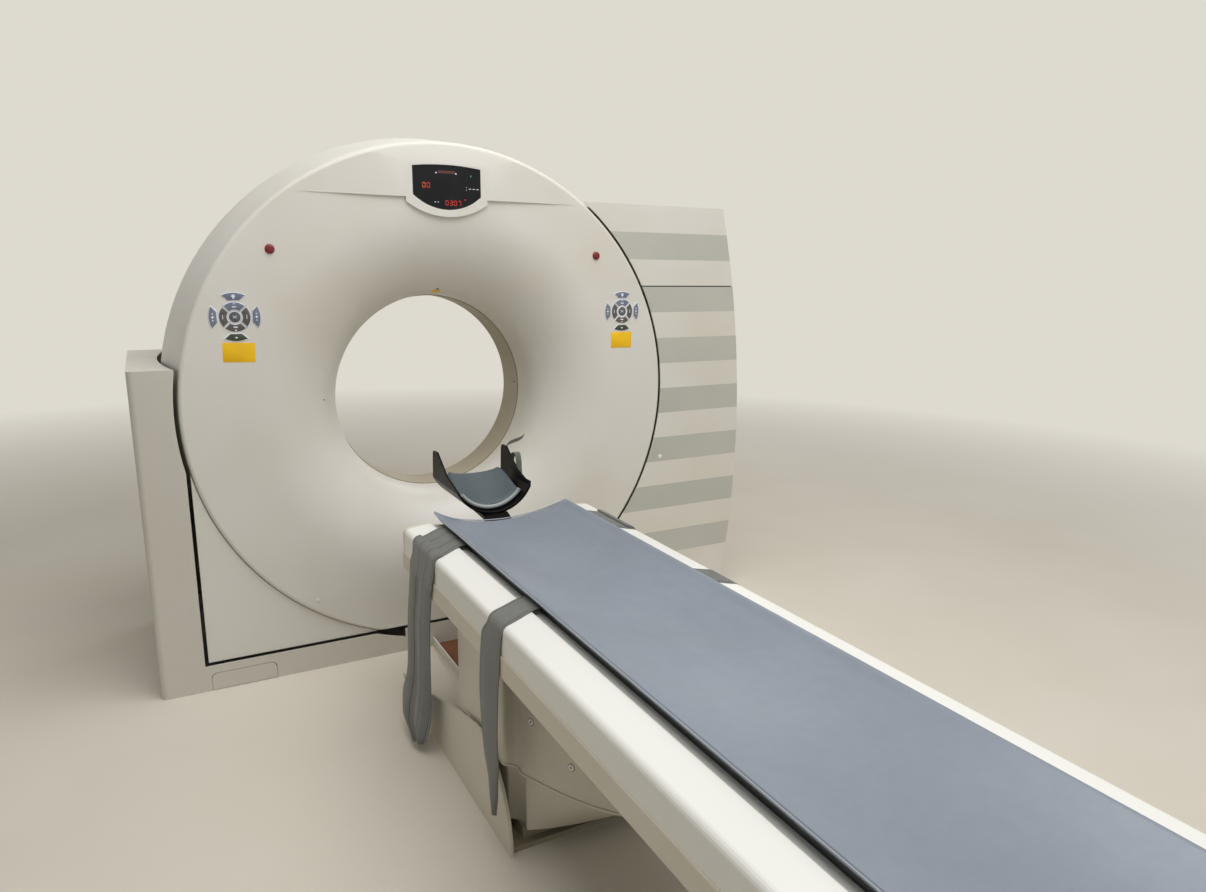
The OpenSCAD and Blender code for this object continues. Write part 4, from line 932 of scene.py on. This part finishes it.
# Straps: cloth bands over a rail, hanging down its side; the path is that of the +X side
OVER_RAIL = [(0.206, 0.6215), (0.216, 0.6212), (0.229, 0.62), (0.25, 0.6165), (0.272, 0.6135),
             (0.29, 0.6115)]
TURN_X, TURN_Z, TURN_R = 0.294, 0.592, 0.0185
HANG_X = 0.3131
SEAM_W = 0.0026
STRAP_THICK = 0.0038
SEAMS, LAYER_SEAMS = (0.09, 0.91), (0.06, 0.34, 0.69, 0.94)
# Spans: share of the length and Y of both edges
WIDE = [(0.0, -0.873, -1.06), (0.17, -0.915, -1.108), (0.27, -0.88, -1.086), (0.5, -0.862, -1.066),
        (0.74, -0.874, -1.06), (0.88, -0.842, -1.056), (0.95, -0.858, -1.05), (1.0, -0.985, -1.03)]
SLIM = [(0.0, -1.466, -1.55), (0.19, -1.495, -1.582), (0.27, -1.462, -1.574), (0.48, -1.46, -1.572),
        (0.73, -1.472, -1.56), (0.9, -1.5, -1.545), (1.0, -1.522, -1.534)]
# Second layer of a wide strap: first and last row of the path, and its spans
LAYER = (10, 26, [(0.0, -0.9, -1.1), (0.5, -0.905, -1.104), (1.0, -0.893, -1.092)])
LAYER_PROUD = 0.0044


def strap_path(tip, bow):
    """Points (x, z) from the mat's edge over the rail to the hanging tip."""
    pts = list(OVER_RAIL)
    for a in (70, 50, 30, 10):
        q = math.radians(a)
        pts.append((TURN_X + TURN_R * math.cos(q), TURN_Z + TURN_R * math.sin(q)))
    for i in range(1, 31):
        t = i / 30
        proud = 0.0022 * min(1.0, t * 8)
        x = HANG_X + proud + bow * math.sin(math.pi * min(1, t * 1.15)) ** 2
        pts.append((x, TURN_Z + (tip - TURN_Z) * t))
    return pts


def resample(pts, n):
    """The path at even steps, and its length."""
    lens = [0.0]
    for a, b in zip(pts, pts[1:]):
        lens.append(lens[-1] + math.dist(a, b))
    out = []
    k = 0
    for i in range(n + 1):
        s = lens[-1] * i / n
        while k < len(pts) - 2 and lens[k + 1] < s:
            k += 1
        f = (s - lens[k]) / max(1e-9, lens[k + 1] - lens[k])
        out.append(tuple(p + (q - p) * f for p, q in zip(pts[k], pts[k + 1])))
    return out, lens[-1]


def strap_columns(seams, width):
    """Places across a strap from 0 to 1, with a narrow column for each sewn line."""
    half = SEAM_W / 2 / width
    columns = [(c / 20, False) for c in range(21) if all(abs(c / 20 - s) > 2.5 * half for s in seams)]
    columns += [(s + way * half, True) for s in seams for way in (-1, 1)]
    return sorted(columns)


def strap_grid(path, side, spans, columns, folds, fold_depth, flare, proud=0.0):
    """Rows of points along the strap, with its folds, its flare and its sewn lines."""
    grid = []
    for i, (x, z) in enumerate(path):
        s = i / (len(path) - 1)
        k = max(j for j in range(len(spans)) if spans[j][0] <= s + 1e-9)
        a, b = spans[k], spans[min(k + 1, len(spans) - 1)]
        f = 0 if b[0] == a[0] else (s - a[0]) / (b[0] - a[0])
        f = f * f * (3 - 2 * f)
        y0, y1 = a[1] + (b[1] - a[1]) * f, a[2] + (b[2] - a[2]) * f
        row = []
        hang = max(0.0, min(1.0, (0.585 - z) / 0.08))
        low = max(0.0, min(1.0, (0.42 - z) / 0.36))
        for v, sewn in columns:
            y = y0 + (y1 - y0) * v
            wave = (0.5 - 0.5 * math.cos(2 * math.pi * (folds * v + 0.15 * math.sin(3 * s)))) ** 0.6
            out = fold_depth * wave * hang * (0.4 + 0.6 * s)
            out += 0.002 * hang * noise.noise(Vector((y * 11, z * 5, 1.7)))
            out += flare * low ** 1.6 * (1 - 0.88 * v)
            out += 0.55 * flare * v * max(0.0, (0.15 - z) / 0.12) ** 1.5
            lift = (1 - hang) * 0.0012 * noise.noise(Vector((y * 14, x * 20, 5.2)))
            if sewn:
                out -= 0.001 * hang
                lift -= 0.0006 * (1 - hang)
            row.append(Vector((side * (x + out + proud * hang), y, z + lift + proud * (1 - hang))))
        grid.append(row)
    return grid


def make_strap(name, side, spans, tip, bow, folds, fold_depth, flare, layer=None):
    path, length = resample(strap_path(tip, bow), 84)
    columns = strap_columns(LAYER_SEAMS if layer else SEAMS, spans[0][1] - spans[0][2])
    grid = strap_grid(path, side, spans, columns, folds, fold_depth, flare)
    sheets = [grid]
    if layer:
        part = resample(path[layer[0]:layer[1]], 24)[0]
        sheets.append(strap_grid(part, side, layer[2], columns, 0, 0, 0, LAYER_PROUD))
    verts, faces, slots = [], [], []
    sewn = [int(a[1] and b[1]) for a, b in zip(columns, columns[1:])]
    for rows in sheets:
        faces += quads(len(rows), len(columns), base=len(verts))
        verts += [p for row in rows for p in row]
        slots += sewn * (len(rows) - 1)
    obj = new_piece(name, verts, faces, [LOOKS["strap"], LOOKS["stitch"]], slots)
    thicken(obj, STRAP_THICK, 1.0 if side < 0 else -1.0)
    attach(obj, "table")
    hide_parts("straps")
    return grid


def make_straps():
    left = make_strap("strap_left_head", -1, WIDE, 0.03, 0.004, 2.0, 0.011, 0.036, LAYER)
    make_strap("strap_left_foot", -1, SLIM, 0.118, 0.006, 1.0, 0.006, 0.004)
    right_wide = [(s, a - 0.002, b - 0.012) for s, a, b in WIDE]
    right_slim = [(s, a - 0.006, b - 0.026) for s, a, b in SLIM]
    make_strap("strap_right_head", 1, right_wide, 0.045, 0.004, 2.4, 0.006, 0.03, LAYER)
    make_strap("strap_right_foot", 1, right_slim, 0.124, 0.005, 1.0, 0.006, 0.004)
    at = min((row[0] for row in left), key=lambda p: abs(p.z - 0.165))
    build = Build()
    loop = [at + Vector((-0.002, 0.004 + 0.0055 * c, 0.0085 * s)) for c, s in circle(1.0, 20)]
    build.tube(loop, 0.0012, LOOKS["chrome"], 8, True)
    eye = build.piece("strap_ring", 60)
    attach(eye, "table")


# Head cushion: a dished pad that rises towards the head end, behind a rolled rim
HOLD_C, HOLD_R = 0.734, 0.13
PAD_Y0, PAD_Y1 = -0.708, -0.553
PAD_HALF, RIM_HALF = math.radians(52), math.radians(53.6)
PAD_TROUGH_R, PAD_SHELF_Z = 0.1155, 0.697
RIM_PATH_R, RIM_R = 0.1212, 0.0068


# Cloth of the cushion: remesh step, cap on each point's travel, pressure, frames
SOFT_VOXEL, SOFT_CAP, SOFT_PRESSURE, SOFT_FRAMES = 0.004, 0.004, 4.0, 20


def evaluated(obj):
    return obj.evaluated_get(bpy.context.evaluated_depsgraph_get())


def soften(obj):
    """Swells a closed form as air-filled cloth, then keeps each point within the cap."""
    remesh = obj.modifiers.new("remesh", "REMESH")
    remesh.mode = "VOXEL"
    remesh.voxel_size = SOFT_VOXEL
    mesh = bpy.data.meshes.new_from_object(evaluated(obj))
    obj.modifiers.remove(remesh)
    old, obj.data = obj.data, mesh
    bpy.data.meshes.remove(old)
    start = [v.co.copy() for v in mesh.vertices]
    normals = [v.normal.copy() for v in mesh.vertices]
    cloth = obj.modifiers.new("cloth", "CLOTH")
    cloth.settings.quality = 6
    cloth.settings.mass = 0.3
    cloth.settings.use_pressure = True
    cloth.settings.uniform_pressure_force = SOFT_PRESSURE
    cloth.settings.effector_weights.gravity = 0
    cloth.point_cache.frame_start, cloth.point_cache.frame_end = 1, SOFT_FRAMES
    scene = bpy.context.scene
    for frame_no in range(1, SOFT_FRAMES + 1):
        scene.frame_set(frame_no)
    moved = [v.co.copy() for v in evaluated(obj).data.vertices]
    obj.modifiers.remove(cloth)
    scene.frame_set(1)
    for v, a, b, n in zip(mesh.vertices, start, moved, normals):
        d = b - a
        free = max(0.0, min(1.0, (n.z + 0.35) / 0.7))
        v.co = a + d * (free * SOFT_CAP / (SOFT_CAP + d.length))
    mesh.polygons.foreach_set("use_smooth", [True] * len(mesh.polygons))
    mesh.update()
    round_off(obj)


def round_point(a, r, y):
    return (r * math.sin(a), y, HOLD_C - r * math.cos(a))


def make_head_pad():
    rows, cols = 36, 36
    verts = []
    for layer in (0, 1):
        for j in range(rows + 1):
            v = j / rows
            y = PAD_Y0 + (PAD_Y1 - PAD_Y0) * v
            narrow = 1 - 0.13 * max(0.0, (v - 0.72) / 0.28) ** 2
            for i in range(cols + 1):
                u = -1 + 2 * i / cols
                x, _, z = round_point(u * PAD_HALF, HOLD_R - 0.0015, y)
                if layer:
                    trough = HOLD_C - PAD_TROUGH_R * math.cos(u * PAD_HALF)
                    shelf = PAD_SHELF_Z + 0.011 * u * u
                    z = trough + (shelf - trough) * v ** 1.15
                    sides = math.exp(-((abs(u) - 0.88) / 0.07) ** 2)
                    border = max(sides, math.exp(-((v - 0.92) / 0.05) ** 2))
                    z += 0.0026 * border - 0.004 * max(abs(u) ** 14, v ** 18)
                verts.append((x * narrow, y, z))
    w = cols + 1
    n = w * (rows + 1)
    faces = quads(rows + 1, w) + quads(rows + 1, w, base=n)
    border = [(0, i) for i in range(w)] + [(j, cols) for j in range(1, rows + 1)]
    border += [(rows, i) for i in range(cols - 1, -1, -1)] + [(j, 0) for j in range(rows - 1, 0, -1)]
    ids = [j * w + i for j, i in border]
    faces += [(a, b, n + b, n + a) for a, b in zip(ids, ids[1:] + ids[:1])]
    pad = new_piece("head_pad_cover", verts, faces, [LOOKS["pad"]])
    fix_normals(pad)
    soften(pad)
    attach(pad, "cradle")
    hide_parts("head_pad")

    build = Build()
    turns = [-RIM_HALF + 2 * RIM_HALF * k / 40 for k in range(41)]
    pts = [Vector(round_point(a, RIM_PATH_R, PAD_Y0 - 0.0085)) for a in turns]
    build.tube(pts, RIM_R, LOOKS["pad_rim"], 14)
    rim = build.piece("head_pad_rim", 60)
    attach(rim, "cradle")
    make_chin_straps()


# Chin straps: name, half width, path
CHIN_STRAPS = (
    ("chin_strap_tab", Vector((0, -0.0098, 0.0094)),
     [(0.125, -0.53, 0.7), (0.1252, -0.528, 0.728), (0.1275, -0.522, 0.75), (0.14, -0.514, 0.766),
      (0.164, -0.507, 0.774), (0.19, -0.502, 0.779), (0.208, -0.499, 0.788)]),
    ("chin_strap_loop", Vector((0.011, 0, 0)),
     [(0.138, -0.548, 0.7), (0.14, -0.551, 0.728), (0.146, -0.559, 0.744), (0.15, -0.569, 0.7485),
      (0.151, -0.579, 0.742), (0.1515, -0.585, 0.722), (0.1515, -0.588, 0.69), (0.151, -0.589, 0.65),
      (0.15, -0.588, 0.615), (0.149, -0.586, 0.59)]),
)
CHIN_THICK = 0.002


def make_chin_straps():
    """Two grey fastening strips on the outer face of the right wing."""
    for name, across, path in CHIN_STRAPS:
        fine = smooth_path([Vector(p) for p in path], 6)
        verts = []
        for i, p in enumerate(fine):
            for k in range(5):
                verts.append(p + across * (0.5 * k - 1) + Vector((0, 0.0005 * math.sin(3 * k + i), 0)))
        obj = new_piece(name, verts, quads(len(fine), 5), [LOOKS["strap"]])
        thicken(obj, CHIN_THICK, 0.0)
        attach(obj, "cradle")


def smooth_path(points, steps):
    """A smooth curve through the points."""
    out = []
    last = len(points) - 1
    for i in range(last):
        p0, p1 = points[max(0, i - 1)], points[i]
        p2, p3 = points[i + 1], points[min(last, i + 2)]
        for k in range(steps):
            t = k / steps
            out.append(0.5 * ((2 * p1) + (p2 - p0) * t + (2 * p0 - 5 * p1 + 4 * p2 - p3) * t * t
                              + (3 * p1 - p0 - 3 * p2 + p3) * t ** 3))
    out.append(points[-1])
    return out


# Stage
BACKDROP = rgb(222, 218, 208)
ROOM_LIGHT = (0.255, 0.252, 0.243, 1)
FLOOR_HALF = 14.0
FADE_FROM, FADE_TO = 2.4, 6.5
# Lamps: name, place, target, width, height, power
LAMPS = (
    ("ceiling", (0.4, -1.9, 4.2), (0.2, -1.0, 0.6), 4.0, 3.0, 138),
    ("front_fill", (1.8, -5.2, 2.6), (0, -0.6, 0.8), 2.4, 2.0, 26),
    ("rear_fill", (2.6, 2.6, 3.0), (0, 0, 0.8), 2.4, 2.0, 20),
)


def make_stage():
    corners = [(x * FLOOR_HALF, y * FLOOR_HALF, 0) for x, y in ((-1, -1), (1, -1), (1, 1), (-1, 1))]
    floor = new_piece("floor", corners, [(0, 1, 2, 3)], [floor_look()], smooth=False)
    world = bpy.data.worlds.new("studio")
    bpy.context.scene.world = world
    sky = Tree(world)
    back = sky.nodes["Background"].inputs
    sky.link(sky.mix(sky.unlit_rays(), ROOM_LIGHT, BACKDROP), back["Color"])
    back["Strength"].default_value = 1.0
    for row in LAMPS:
        lamp(*row)


def floor_look():
    """Floor that fades into the backdrop with its distance from the scanner."""
    look = Look("studio_floor", rgb(216, 209, 196), 0.62)
    look.paint(look.mix(look.cloud(0.4, 0.7, 0.9, 3), rgb(217, 210, 197), rgb(211, 203, 188)))
    squares = [look.math("POWER", look.axis(i), 2.0) for i in (0, 1)]
    reach = look.math("SQRT", look.math("ADD", *squares))
    fade = look.times(look.unlit_rays(), look.span(reach, FADE_FROM, FADE_TO))
    glow = look.node("Emission", (("Color", BACKDROP),))
    blend = look.node("MixShader", ((0, fade), (1, look.shader.outputs[0]), (2, glow.outputs[0])))
    look.link(blend.outputs[0], look.nodes["Material Output"].inputs["Surface"])
    return look


def lamp(name, place, target, w, h, power):
    data = bpy.data.lights.new(name, "AREA")
    data.shape = "RECTANGLE"
    data.size, data.size_y, data.energy = w, h, power
    obj = add_object(name, data)
    obj.location = place
    obj.rotation_euler = (Vector(target) - Vector(place)).to_track_quat("-Z", "Y").to_euler()


def main():
    make_camera()
    dress_cad()
    make_cover_shell()
    make_lower_shell()
    make_keys()
    make_display()
    make_trim()
    make_mat()
    make_straps()
    make_head_pad()
    make_stage()
    bpy.context.scene.view_settings.view_transform = "Standard"


main()
